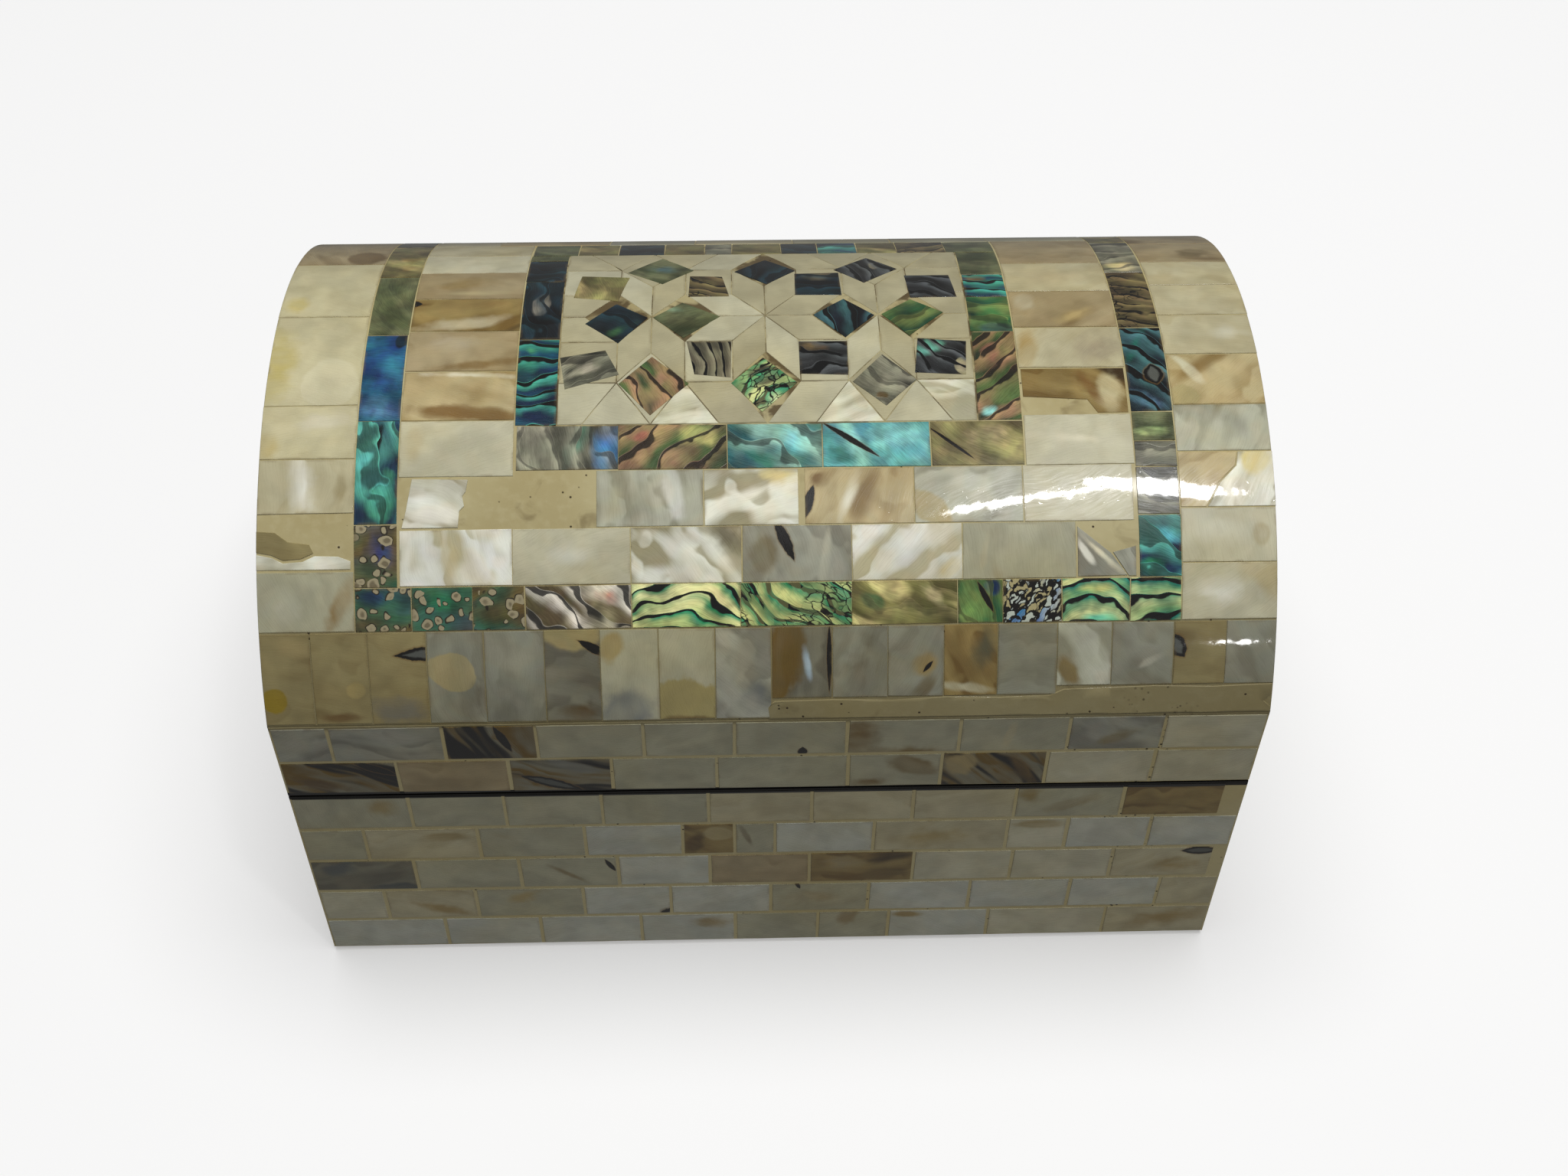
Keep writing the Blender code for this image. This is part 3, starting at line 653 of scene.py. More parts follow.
def spotted(tree, colour, lump, layer):
    """Adds the spots: a hard one covers what is under it, a soft one lets the layers show through. The
    near-white ones on pearly tiles are painted sheen; the rest are the shell's own marks and patches.
    """
    for n in ("1", "2"):
        spot = axes(tree, felt(tree, "spot_" + n))
        soft = spot[2]
        distance = calc(tree, "SQRT", calc(tree, "ADD", calc(tree, "POWER", spot[0], 2.0),
                                           calc(tree, "POWER", spot[1], 2.0)))
        stray = calc(tree, "MULTIPLY", calc(tree, "SUBTRACT", lump, 0.5),
                     calc(tree, "MULTIPLY_ADD", soft, 0.9, 0.4))
        ragged = calc(tree, "MULTIPLY", calc(tree, "SUBTRACT", layer, 0.5),
                      calc(tree, "MULTIPLY_ADD", soft, 1.5, 0.2))
        distance = calc(tree, "ADD", distance, calc(tree, "ADD", stray, ragged))
        hidden = calc(tree, "MULTIPLY", soft, ease(tree, layer, 0.30, 0.62, 0.65, 0.0))
        cover = ease(tree, distance, calc(tree, "SUBTRACT", 1.03, soft), 1.08, 1.0, 0.0)
        cover = calc(tree, "MULTIPLY", cover, calc(tree, "SUBTRACT", 1.0, hidden))
        colour = laid_over(tree, cover, colour, felt(tree, "stain_" + n, "Color"))
    return colour


def flaws(tree, colour, lump, fine):
    """Adds the black leaf-shaped flaw and a patchy brown darkening along the rim of a tile."""
    dagger = axes(tree, felt(tree, "dagger"))
    leaf = calc(tree, "SUBTRACT", calc(tree, "SUBTRACT", 1.15, calc(tree, "POWER", dagger[0], 2.0)),
                calc(tree, "ABSOLUTE", dagger[1]))
    leaf = calc(tree, "SUBTRACT", leaf, calc(tree, "MULTIPLY", fine, 0.4))
    colour = laid_over(tree, ease(tree, leaf, -0.25, 0.05, 0.0, 0.55), colour, display(120, 92, 48))
    colour = laid_over(tree, ease(tree, leaf, 0.0, 0.14), colour, display(16, 13, 10))
    core = calc(tree, "MULTIPLY", ease(tree, leaf, 0.34, 0.60, 0.0, 0.85), dagger[2])
    colour = laid_over(tree, core, colour, display(96, 100, 96))
    span = axes(tree, felt(tree, "span"))
    half = axes(tree, felt(tree, "half"))
    rim = calc(tree, "MINIMUM", calc(tree, "SUBTRACT", half[0], calc(tree, "ABSOLUTE", span[0])),
               calc(tree, "SUBTRACT", half[1], calc(tree, "ABSOLUTE", span[1])))
    rim = calc(tree, "ADD", rim, calc(tree, "SUBTRACT", 1.0, half[2]))
    rim_darkening = calc(tree, "MULTIPLY", ease(tree, rim, 0.05, 0.45, 0.3, 0.0), ease(tree, lump, 0.46, 0.62))
    return aged_and_seam_shaded(tree, laid_over(tree, rim_darkening, colour, display(120, 100, 62)))


def lacquer(tree, shader, where, height, colour, roughness):
    """Connects colour, gloss and relief, and the slightly wavy coat of lacquer over them."""
    tree.links.new(colour, shader.inputs["Base Color"])
    tree.links.new(roughness, shader.inputs["Roughness"])
    relief = put(tree, "ShaderNodeBump", {"Height": height, "Distance": 0.00002, "Strength": 0.6})
    tree.links.new(relief.outputs[0], shader.inputs["Normal"])
    wave, _ = cloud(tree, where, 240.0, 2.0)
    dust, _ = cloud(tree, where, 1500.0, 1.0)
    swell = calc(tree, "ADD", wave, ease(tree, dust, 0.68, 0.80, 0.0, 0.15))
    coat = put(tree, "ShaderNodeBump", {"Height": swell, "Distance": 0.000022, "Strength": 1.0})
    tree.links.new(coat.outputs[0], shader.inputs["Coat Normal"])
    shader.inputs["Coat Weight"].default_value = 1.0
    shader.inputs["Coat Roughness"].default_value = 0.04


nacre, tree, shader = new_finish("nacre")
look = axes(tree, felt(tree, "look"))
pitch = axes(tree, felt(tree, "flow"))[1]
where, along, across = growth(tree, (3.0, 3.4, 0.0))
paced = calc(tree, "MULTIPLY", across, pitch)
# The folds, gleams and crests are the shell's layers, and their brightness is partly painted sheen: the glow
# that nacre throws back, laid into its colour.
folds = layered(tree, along, paced, (0.05, 1.0))
gleams = layered(tree, along, calc(tree, "ADD", paced, 7.3), (0.11, 1.6), 1.5)
bands = layered(tree, along, calc(tree, "ADD", paced, 31.0), (0.05, 0.9), 1.5)
silk = layered(tree, along, across, (0.35, 5.0), 2.0)
haze, _ = cloud(tree, where, 0.14, 2.0)
lump, _ = cloud(tree, where, 0.32, 3.0)
fine, _ = cloud(tree, where, 1.1, 3.0)
sheet = calc(tree, "FRACT",
             calc(tree, "ADD", calc(tree, "MULTIPLY", paced, 0.55), calc(tree, "MULTIPLY", haze, 2.6)))
crest = calc(tree, "MULTIPLY", ease(tree, sheet, 0.05, 0.82), ease(tree, sheet, 0.84, 1.0, 1.0, 0.0))
fold = calc(tree, "ADD", calc(tree, "MULTIPLY", crest, ease(tree, gleams, 0.36, 0.62, 0.15, 0.85)),
            ease(tree, folds, 0.42, 0.66, 0.0, 0.55), clamp=True)
colour = laid_over(tree, calc(tree, "MULTIPLY", fold, look[0]), felt(tree, "first", "Color"),
                   felt(tree, "second", "Color"))
cover = calc(tree, "SUBTRACT", 0.74, calc(tree, "MULTIPLY", look[1], 0.36))
band = ease(tree, calc(tree, "SUBTRACT", bands, cover), 0.0, 0.14)
colour = laid_over(tree, band, colour, felt(tree, "third", "Color"))
colour = spotted(tree, colour, lump, gleams)
# A faint pink, green and blue tint in clouds: the iridescent sheen of nacre, painted into its colour.
hue = put(tree, "ShaderNodeValToRGB", {0: cloud(tree, where, 0.22, 1.0)[0]})
stops = ((0.30, (1.0, 0.97, 0.92)), (0.42, (1.0, 0.98, 0.88)), (0.52, (0.94, 1.0, 0.95)),
         (0.62, (0.94, 0.98, 1.0)),
         (0.72, (1.0, 0.97, 0.95)))
for k, (place, tone) in enumerate(stops):
    stop = hue.color_ramp.elements[k] if k < 2 else hue.color_ramp.elements.new(place)
    stop.position, stop.color = place, (*tone, 1.0)
colour = laid_over(tree, calc(tree, "MULTIPLY", look[2], 0.8), colour, hue.outputs[0], "MULTIPLY")
# The silk lightens and darkens the colour in fine streaks, more on tiles that shine: partly the shell's
# grain, partly painted sheen.
shine = calc(tree, "ADD", 1.0, calc(tree, "MULTIPLY", calc(tree, "SUBTRACT", silk, 0.5),
                                    calc(tree, "ADD", 0.07, calc(tree, "MULTIPLY", look[2], 0.12))))
shine = calc(tree, "MULTIPLY", shine, ease(tree, haze, 0.34, 0.66, 1.07, 0.92))
shine = calc(tree, "MULTIPLY", shine, ease(tree, lump, 0.36, 0.64, 0.96, 1.04))
colour = put(tree, "ShaderNodeVectorMath", {0: colour, "Scale": shine}, operation="SCALE").outputs[0]
colour = flaws(tree, colour, lump, fine)
height = calc(tree, "ADD", calc(tree, "MULTIPLY", silk, 0.5), calc(tree, "MULTIPLY", folds, 3.0))
lacquer(tree, shader, put(tree, "ShaderNodeTexCoord").outputs["Object"], height, colour,
        ease(tree, silk, 0.3, 0.7, 0.24, 0.38))
shader.inputs["Specular IOR Level"].default_value = 0.9

TILES = {"Depth": 0.00045, "Edge": 0.00006, "Uneven": 0.00003, "Tilt": 0.0012}
VAULT_STEP = 2.3
EVERY_DAY = "bone bone bone silver silver cream cream ivory pearl smoke honey umber rose"


# End borders: a file of nacre tiles down each arched end of the vault, turned across it.
# The left one has lost a tile near the front, and the gap is filled with putty and a ragged sliver.
draw = random.Random(11)
OUTER = 74.88
LEFT_BORDER = (-OUTER, -60.8)
RIGHT_BORDER = (60.7, OUTER)
border = course(LEFT_BORDER, (-51.7, -43.0, -34.4, -17.3, -0.7, 17.2, 26.0, 34.3),
                "bone cream rose/80 ivory ivory ivory cream/90", draw, down=True,
                marks={2: {"spots": [(-64.0, -20.5, 3.4, 3.6, 0, 0.3, (120, 98, 62))]},
                       4: {"spots": [(-73.5, 9.0, 3.6, 8.0, 0, 0.8, (204, 190, 122)),
                                     (-65.5, 13.0, 4.2, 4.4, 0, 0.1, (220, 214, 180))]},
                       3: {"spots": [(-72.5, -3.5, 2.6, 3.0, 0, 0.8, (206, 192, 128))]},
                       5: {"spots": [(-66.0, 20.0, 5.0, 2.2, 0, 0.8, (222, 216, 190)),
                                     (-73.5, 24.0, 2.6, 2.4, 0, 0.8, (200, 184, 130))]},
                       # The soft white streak down this tile is a painted highlight.
                       6: {"spots": [(-68.2, 30.2, 2.4, 6.6, -8, 1.0, (255, 255, 244)),
                                     (-62.6, 30.5, 1.2, 3.4, 0, 0.8, (168, 156, 118))]}})
border += course(LEFT_BORDER, (42.8, 51.7), "bone/60", draw, down=True,
                 marks={0: {"spots": [(-62.8, 47.8, 5.4, 1.5, 118, 0.9, (150, 122, 72)),
                                      (-71.0, 48.0, 3.0, 3.0, 0, 1.0, (206, 206, 186))]}})
border.append(tile([(-OUTER, 40.2), (-72.6, 40.7), (-71.0, 41.5), (-68.2, 41.3), (-66.4, 40.5), (-63.0, 40.6),
                    (-61.2, 41.3), (-61.2, 42.5), (-OUTER, 42.5)], "pearl/0", draw))
border.append(tile([(-OUTER, 36.8), (-72.2, 37.0), (-70.3, 38.4), (-67.2, 38.8), (-66.6, 40.1), (-68.4, 40.9),
                    (-71.0, 41.1), (-72.7, 40.3), (-OUTER, 39.9)], "tallow/0", draw))
border += course(RIGHT_BORDER, (-51.7, -43.0, -34.4, -24.7, -15.0, -7.0, 1.0, 9.5, 18.7, 26.4),
                 "bone cream rose rose cream cream cream honey/-40 silver/110", draw, down=True,
                 marks={3: {"spots": [(70.0, -19.0, 3.4, 2.6, 0, 0.6, (128, 112, 76))]},
                        4: {"spots": [(64.0, -9.0, 3.0, 3.0, 0, 0.9, (196, 184, 146))]},
                        6: {"spots": [(71.0, 5.0, 3.6, 2.2, 0, 1.0, (222, 218, 194))]},
                        7: {"spots": [(63.6, 12.0, 1.0, 4.4, -38, 0.7, (232, 228, 200)),
                                      (62.4, 17.4, 2.6, 2.0, 0, 0.2, (186, 172, 124))]}})
border.append(tile([(60.75, 26.5), (69.6, 26.5), (69.2, 28.6), (66.6, 31.2), (64.6, 34.9), (60.75, 34.9)],
                   "honey/-40", draw))
border.append(tile([(69.75, 26.5), (OUTER, 26.5), (OUTER, 34.9), (64.8, 34.9), (66.8, 31.3), (69.4, 28.7)],
                   "pearl/120", draw, spots=[(72.0, 28.0, 3.2, 2.4, 0, 0.6, (236, 218, 152))]))
border += course(RIGHT_BORDER, (35.0, 43.2, 51.7), "chalk/80 chalk/-30", draw, down=True,
                 # The broad white patches on these two chalk tiles are painted sheen.
                 marks={0: {"spots": [(72.5, 39.0, 1.6, 2.0, 0, 0.4, (190, 180, 146)),
                                      (66.0, 38.5, 8.0, 3.4, 0, 1.0, (236, 236, 214))]},
                        1: {"spots": [(73.5, 45.0, 5.6, 3.0, 40, 0.6, (198, 184, 142)),
                                      (66.0, 48.0, 5.0, 3.0, 20, 1.0, (250, 250, 238))]}})
end_borders = bedded("end_border_tiles", tile_sheet(border, NACRE_FINISHES, VAULT_STEP), nacre,
                     Seed=3, **TILES)
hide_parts("end_border_left", "end_border_right")


# Tall rows: tiles on end, along the foot of the vault, front and back. The right half of the front
# row stops short of the crease, where putty has been smeared over the edge.
draw = random.Random(12)
# The front row takes the darker finishes: partly the tiles' own tone, partly painted shade at the foot of the
# vault.
tall = course((51.85, 66.1), (-OUTER, -67.5, -59.2, -50.6, -42.2, -33.4, -25.2, -16.6, -8.3, 0.0),
              "tallow/0 tallow/10 tallow/5 ash/80 ash/88 dusk/10 bone/90 bone/90 smoke/40", draw,
              marks={0: {"spots": [(-73.3, 62.3, 1.9, 2.1, 0, 0.15, (150, 128, 30)),
                                   (-70.0, 54.0, 3.4, 1.8, 20, 0.9, (178, 160, 112))]},
                     1: {"spots": [(-61.4, 60.7, 1.6, 1.4, 0, 0.3, (168, 152, 100)),
                                   (-64.0, 65.0, 4.0, 1.0, 0, 0.7, (116, 92, 52))]},
                     2: {"dagger": (-50.2, 55.1, 5.4, 1.25, -3),
                         "spots": [(-55.0, 64.0, 5.0, 2.9, 0, 0.7, (128, 125, 112))]},
                     3: {"spots": [(-47.0, 58.0, 3.7, 2.8, 20, 0.06, (172, 160, 120)),
                                   (-43.0, 62.0, 2.0, 4.4, 0, 0.9, (118, 114, 98))]},
                     4: {"spots": [(-38.0, 65.5, 6.0, 4.8, 0, 0.8, (128, 126, 112)),
                                   (-38.0, 56.5, 4.4, 4.0, 0, 1.0, (172, 172, 154))]},
                     5: {"dagger": (-26.0, 54.7, 2.9, 0.75, 28),
                         "spots": [(-29.6, 52.6, 5.0, 2.7, 6, 0.25, (168, 154, 108)),
                                   (-28.5, 64.4, 3.6, 2.0, 0, 0.8, (98, 80, 48))]},
                     6: {"spots": [(-21.0, 64.6, 5.6, 3.9, 0, 0.7, (122, 126, 126)),
                                   (-23.6, 54.5, 2.0, 2.6, 0, 0.4, (170, 154, 106))]},
                     7: {"spots": [(-12.5, 70.2, 16.0, 10.0, 0, 0.06, (168, 156, 104)),
                                   (-12.5, 66.6, 5.0, 1.3, 0, 0.5, (112, 90, 52))]},
                     8: {"spots": [(-6.5, 53.6, 2.2, 1.8, 0, 0.9, (206, 206, 192)),
                                   (-2.0, 62.0, 3.4, 3.6, 0, 1.0, (118, 122, 122))]}})
tall += course((51.85, 62.9), (0.0, 9.0, 17.2, 25.5, 33.5, 42.3),
               "dusk/90 ash/-70 ash/-60 umber/60 ash/0", draw,
               marks={0: {"dagger": (8.6, 56.8, 5.6, 0.42, 90),
                          "spots": [(1.2, 57.4, 3.4, 9.0, 12, 0.3, (116, 92, 38)),
                                    # The thin blue-white streak is a painted highlight.
                                    (5.4, 57.6, 0.7, 2.6, -10, 0.8, (196, 220, 240))]},
                      1: {"spots": [(13.0, 58.0, 2.4, 6.0, 20, 1.0, (112, 104, 84))]},
                      2: {"dagger": (23.2, 58.2, 1.2, 0.34, -50),
                          "spots": [(23.0, 58.0, 2.6, 1.9, -50, 0.5, (158, 140, 96))]},
                      3: {"spots": [(31.6, 55.2, 2.2, 4.4, 0, 0.7, (92, 88, 64)),
                                    (29.0, 61.6, 6.0, 0.9, 8, 0.8, (206, 200, 170))]}})
tall += course((51.85, 61.6), (42.3, 50.4, 59.6, 67.4, OUTER), "silver/60 ash/40 tallow/0 ash/60", draw,
               marks={0: {"spots": [(44.0, 59.2, 3.0, 1.6, 60, 0.4, (140, 122, 80))]},
                      1: {"spots": [(56.0, 58.0, 3.0, 0.7, -30, 0.9, (190, 188, 170))]},
                      2: {"dagger": (59.9, 55.5, 2.4, 1.7, 55)}})
tall += by_rule((-66.1, -51.85), -OUTER, OUTER, 8.4, EVERY_DAY, draw, 0.2)
tall_rows = bedded("tall_row_tiles", tile_sheet(tall, NACRE_FINISHES, VAULT_STEP), nacre, Seed=4, **TILES)
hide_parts("tall_row_front", "tall_row_back")


# Nacre field: two rows along the front and the back and a column at each side of the star panel,
# with the finest pearl. A tile is lost at the front left, and its place is filled with putty.
draw = random.Random(13)
LEFT_FIELD = (-54.4, -37.6)
RIGHT_FIELD = (38.1, 54.3)
# The near-white spots on the pearl, moon, silver and smoke tiles of the field are painted sheen.
field = [tile([(-52.4, 29.2), (-44.2, 29.4), (-44.5, 31.2), (-45.0, 31.9), (-44.7, 33.4), (-45.4, 34.1),
               (-45.6, 36.6),
               (-53.8, 36.6), (-53.2, 34.0)], "pearl/20", draw,
               spots=[(-50.0, 34.0, 4.0, 2.6, 20, 1.0, (255, 255, 250))])]
field += course((28.25, 36.8), (-25.4, -9.6, 4.3), "silver/85 pearl/-20", draw,
                marks={0: {"spots": [(-14.0, 32.0, 1.6, 4.6, -8, 1.0, (255, 255, 250)),
                                     (-22.6, 33.0, 2.0, 4.0, 0, 1.0, (196, 192, 164))]},
                       1: {"spots": [(1.6, 29.4, 3.6, 1.8, 0, 0.9, (240, 222, 160)),
                                     (3.6, 33.5, 1.8, 2.6, 10, 0.6, (250, 250, 236))]}})
field += course((28.25, 36.8), (5.2, 21.4, 37.5, 53.8), "honey/-66 silver/-25 chalk", draw,
                marks={0: {"dagger": (5.6, 33.6, 3.0, 0.9, -72),
                           "spots": [(11.6, 33.0, 1.2, 4.2, 20, 0.9, (250, 246, 226)),
                                     (7.2, 29.8, 2.0, 1.6, 0, 0.8, (128, 98, 52))]},
                       1: {"spots": [(23.6, 34.6, 4.4, 2.2, 35, 0.25, (186, 170, 122)),
                                     (30.0, 30.8, 5.0, 1.8, 10, 1.0, (222, 222, 208))]}})
field += course((36.85, 45.2), (-54.2, -37.7, -20.4, -4.1, 12.0, 28.3, 45.1),
                "moon/70 chalk pearl/50 smoke/70 moon/-45 bone/80", draw,
                marks={0: {"spots": [(-46.5, 41.0, 1.8, 4.4, 12, 1.0, (222, 206, 160)),
                                     (-41.0, 41.5, 1.0, 4.6, 8, 0.9, (255, 255, 255))]},
                       1: {"spots": [(-29.0, 41.0, 5.0, 2.0, 0, 1.0, (232, 232, 216))]},
                       2: {"spots": [(-6.2, 38.2, 4.6, 2.4, 50, 0.8, (128, 120, 96)),
                                     (-14.0, 43.6, 6.0, 1.8, 0, 1.0, (255, 255, 250))]},
                       3: {"dagger": (2.1, 38.9, 3.7, 0.95, 66),
                           "spots": [(8.2, 41.0, 0.9, 4.8, 10, 0.9, (210, 208, 190)),
                                     (-1.0, 41.0, 2.4, 3.4, 0, 0.6, (132, 122, 94))]},
                       4: {"spots": [(20.0, 41.0, 5.6, 2.0, -40, 1.0, (255, 255, 255)),
                                     (26.5, 43.5, 2.4, 1.4, -40, 0.9, (236, 214, 158))]},
                       5: {"spots": [(31.5, 41.0, 0.8, 4.4, 12, 0.9, (196, 190, 160))]}})
field.append(tile([(45.3, 37.6), (50.2, 41.6), (52.6, 44.9), (45.3, 45.0)], "smoke/45", draw,
                  spots=[(46.2, 41.2, 0.8, 3.0, -35, 0.5, (250, 250, 240)),
                         (48.6, 41.4, 4.4, 0.7, 42, 0.7, (246, 240, 214))]))
field.append(tile([(50.5, 41.5), (53.9, 40.6), (53.9, 45.0), (52.8, 45.0)], "smoke/60", draw))
field += course(LEFT_FIELD, (-28.3, -21.0, -13.3, -5.0, 3.0, 11.3, 20.0, 29.0),
                "cream chalk rose/5 umber/-10 rose/-5 honey/15 chalk", draw, down=True,
                marks={2: {"spots": [(-47.0, -9.5, 5.6, 2.6, -14, 0.8, (160, 138, 92)),
                                     (-45.5, -6.6, 7.6, 1.0, 0, 0.8, (190, 176, 136))]},
                       3: {"dagger": (-54.6, -3.7, 1.6, 0.9, 0),
                           "spots": [(-46.0, 1.4, 8.6, 2.0, -6, 0.7, (196, 184, 152)),
                                     (-44.6, -3.8, 7.0, 1.5, 0, 0.8, (150, 124, 74))]},
                       4: {"spots": [(-43.0, 9.9, 10.0, 1.3, -8, 0.7, (140, 116, 74)),
                                     (-48.0, 5.6, 5.4, 2.2, 0, 1.0, (190, 178, 150))]},
                       5: {"spots": [(-45.0, 12.0, 8.4, 0.9, 3, 0.8, (248, 244, 222)),
                                     (-45.0, 18.8, 10.0, 1.6, 6, 0.5, (138, 108, 60))]},
                       6: {"spots": [(-52.5, 24.0, 1.6, 3.8, 10, 0.9, (198, 186, 150))]}})
field += course(RIGHT_FIELD, (-28.3, -15.0, -5.5, 3.5, 11.8), "rose cream rose/-30 cream/-40", draw,
                down=True,
                marks={1: {"spots": [(47.0, -10.0, 6.0, 3.0, 0, 1.0, (202, 190, 156))]},
                       2: {"spots": [(40.4, -2.5, 2.0, 2.4, 0, 0.9, (206, 200, 176)),
                                     (48.0, 0.6, 5.0, 1.6, -30, 0.9, (196, 176, 126))]},
                       3: {"spots": [(39.6, 7.6, 2.0, 5.4, 8, 0.8, (182, 158, 104)),
                                     (50.0, 8.0, 5.0, 4.0, -30, 1.0, (172, 160, 136))]}})
field.append(tile([(38.4, 12.0), (54.0, 12.0), (54.0, 19.9), (49.4, 19.9), (48.0, 17.6), (38.4, 17.0)],
                  "umber/20", draw,
                  spots=[(51.8, 16.0, 2.4, 4.2, 0, 0.6, (210, 198, 156)),
                         (48.6, 15.4, 1.0, 3.6, -28, 0.8, (124, 88, 40))]))
field += course(RIGHT_FIELD, (20.1, 28.3), "chalk", draw, down=True,
                marks={0: {"spots": [(46.0, 24.0, 8.0, 1.0, 4, 0.9, (232, 226, 200))]}})
for edges, shift in (((-36.8, -28.25), 0.3), ((-45.2, -36.85), 0.8)):
    field += by_rule(edges, -54.2, 54.2, 16.3, EVERY_DAY, draw, shift)
nacre_field = bedded("nacre_field_tiles", tile_sheet(field, NACRE_FINISHES, VAULT_STEP), nacre,
                     Seed=5, **TILES)
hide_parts("nacre_row_front_1", "nacre_row_front_2", "nacre_row_back_1", "nacre_row_back_2",
            "nacre_column_left", "nacre_column_right")


# Abalone: sea-ear shell, cut so thin that its colours flow from midnight blue through teal and green
# to gold and rose, between black growth lines. At the rough corner worms have riddled it with pale rings.

# Each finish: two colours and the flash between the lines, how much it is lined, flashes and is crazed
# (below zero: worm holes), and how far apart its growth lines are in mm.
ABALONE_FINISHES = {
    "lagoon": ((28, 80, 126), (24, 92, 112), (70, 156, 178), (0.15, 0.5, 0.0), 5.0),
    "peacock": ((30, 70, 104), (18, 32, 56), (108, 214, 194), (0.7, 0.3, 0.0), 5.0),
    "midnight": ((24, 32, 36), (12, 14, 16), (36, 68, 80), (0.8, 0.2, 0.0), 4.0),
    "night": ((46, 48, 50), (20, 20, 20), (92, 98, 102), (1.0, 0.2, 0.0), 2.6),
    "agate": ((112, 106, 88), (78, 74, 62), (150, 144, 122), (1.0, 0.2, 0.0), 1.7),
    "teal": ((22, 66, 100), (18, 40, 66), (74, 178, 158), (1.0, 0.1, 0.0), 2.9),
    "emerald": ((48, 106, 62), (32, 66, 46), (150, 168, 96), (0.5, 0.5, 0.0), 4.0),
    "ribbon": ((255, 252, 188), (206, 222, 150), (36, 156, 110), (1.0, 0.05, 0.0), 2.25),
    "moss": ((92, 98, 64), (66, 74, 46), (136, 140, 104), (0.2, 0.4, 0.0), 4.0),
    "bronze": ((124, 116, 74), (88, 78, 46), (198, 184, 124), (0.15, 0.6, 0.0), 4.5),
    "copper": ((170, 160, 128), (92, 80, 56), (255, 250, 238), (0.9, 0.7, 0.0), 3.6),
    "sunset": ((84, 106, 58), (48, 58, 42), (180, 142, 106), (0.9, 0.5, 0.0), 3.4),
    "gold": ((228, 232, 158), (116, 156, 104), (60, 160, 112), (1.0, 0.3, 0.15), 2.7),
    "slate": ((104, 104, 88), (58, 58, 50), (178, 176, 154), (0.6, 0.4, 0.0), 3.6),
    "burnt": ((92, 82, 56), (54, 46, 32), (140, 122, 84), (1.0, 0.2, 0.1), 2.2),
    "mint": ((96, 182, 184), (70, 150, 164), (176, 244, 220), (0.1, 0.7, 0.0), 6.0),
    "crackle": ((188, 180, 140), (64, 124, 184), (206, 220, 218), (0.2, 0.5, 1.0), 3.0),
    "brass": ((150, 142, 90), (84, 80, 44), (244, 230, 164), (0.3, 0.9, 0.0), 3.4),
    "cove": ((30, 44, 56), (12, 14, 17), (78, 128, 134), (1.0, 0.4, 0.0), 3.2),
    "reef": ((84, 142, 124), (34, 92, 98), (178, 228, 206), (0.7, 0.5, 0.0), 4.6),
    "surf": ((232, 236, 168), (112, 178, 124), (28, 138, 116), (1.0, 0.1, 0.0), 2.7),
    "wormed": ((58, 106, 78), (104, 86, 50), (50, 80, 104), (0.1, 0.5, -1.0), 4.0),
}

abalone, tree, shader = new_finish("abalone")
look = axes(tree, felt(tree, "look"))
flow = axes(tree, felt(tree, "flow"))
where, along, across = growth(tree, (5.0, 4.6, 0.0))
paced = calc(tree, "MULTIPLY", across, flow[1])
patches = layered(tree, along, paced, (0.10, 0.7), 1.0)
flashes = layered(tree, along, calc(tree, "ADD", paced, 17.0), (0.10, 0.9), 1.0)
silk = layered(tree, along, across, (0.45, 5.5), 2.0)
drift, _ = cloud(tree, where, 0.17, 1.0)
shade, _ = cloud(tree, where, 0.30, 2.0)
lump, _ = cloud(tree, where, 0.32, 3.0)
fine, _ = cloud(tree, where, 1.1, 3.0)
flash_colour = felt(tree, "third", "Color")
colour = laid_over(tree, ease(tree, patches, 0.38, 0.62), felt(tree, "first", "Color"),
                   felt(tree, "second", "Color"))
# The flash colour, laid here and beside the growth lines below, is partly the shell's own bright bands and
# partly painted sheen.
colour = laid_over(tree, calc(tree, "MULTIPLY", ease(tree, flashes, 0.48, 0.66), look[1]), colour,
                   flash_colour)
colour = spotted(tree, colour, lump, flashes)
step = calc(tree, "FRACT",
            calc(tree, "ADD", calc(tree, "ADD", paced, flow[2]), calc(tree, "MULTIPLY", drift, 1.6)))
weight = ease(tree, shade, 0.34, 0.64, 0.10, 0.30)
gap = calc(tree, "SUBTRACT", step, weight)
beside = calc(tree, "MULTIPLY", ease(tree, gap, 0.02, 0.58, 1.0, 0.0),
              ease(tree, flashes, 0.34, 0.54, 0.3, 1.0))
colour = laid_over(tree, calc(tree, "MULTIPLY", beside, look[0]), colour, flash_colour)
iris = put(tree, "ShaderNodeHueSaturation",
           {"Hue": ease(tree, lump, 0.25, 0.75, 0.485, 0.53), "Saturation": 1.0,
            "Value": ease(tree, shade, 0.30, 0.70, 1.36, 0.66), "Color": colour})
colour = put(tree, "ShaderNodeVectorMath",
             {0: iris.outputs[0], "Scale": ease(tree, silk, 0.25, 0.75, 0.84, 1.16)},
             operation="SCALE").outputs[0]
line = calc(tree, "MULTIPLY", ease(tree, gap, 0.0, 0.07, 1.0, 0.0), ease(tree, step, 0.0, 0.035))
line = calc(tree, "MULTIPLY", calc(tree, "MULTIPLY", line, look[0]), ease(tree, drift, 0.26, 0.36))
colour = laid_over(tree, line, colour, display(12, 13, 14))
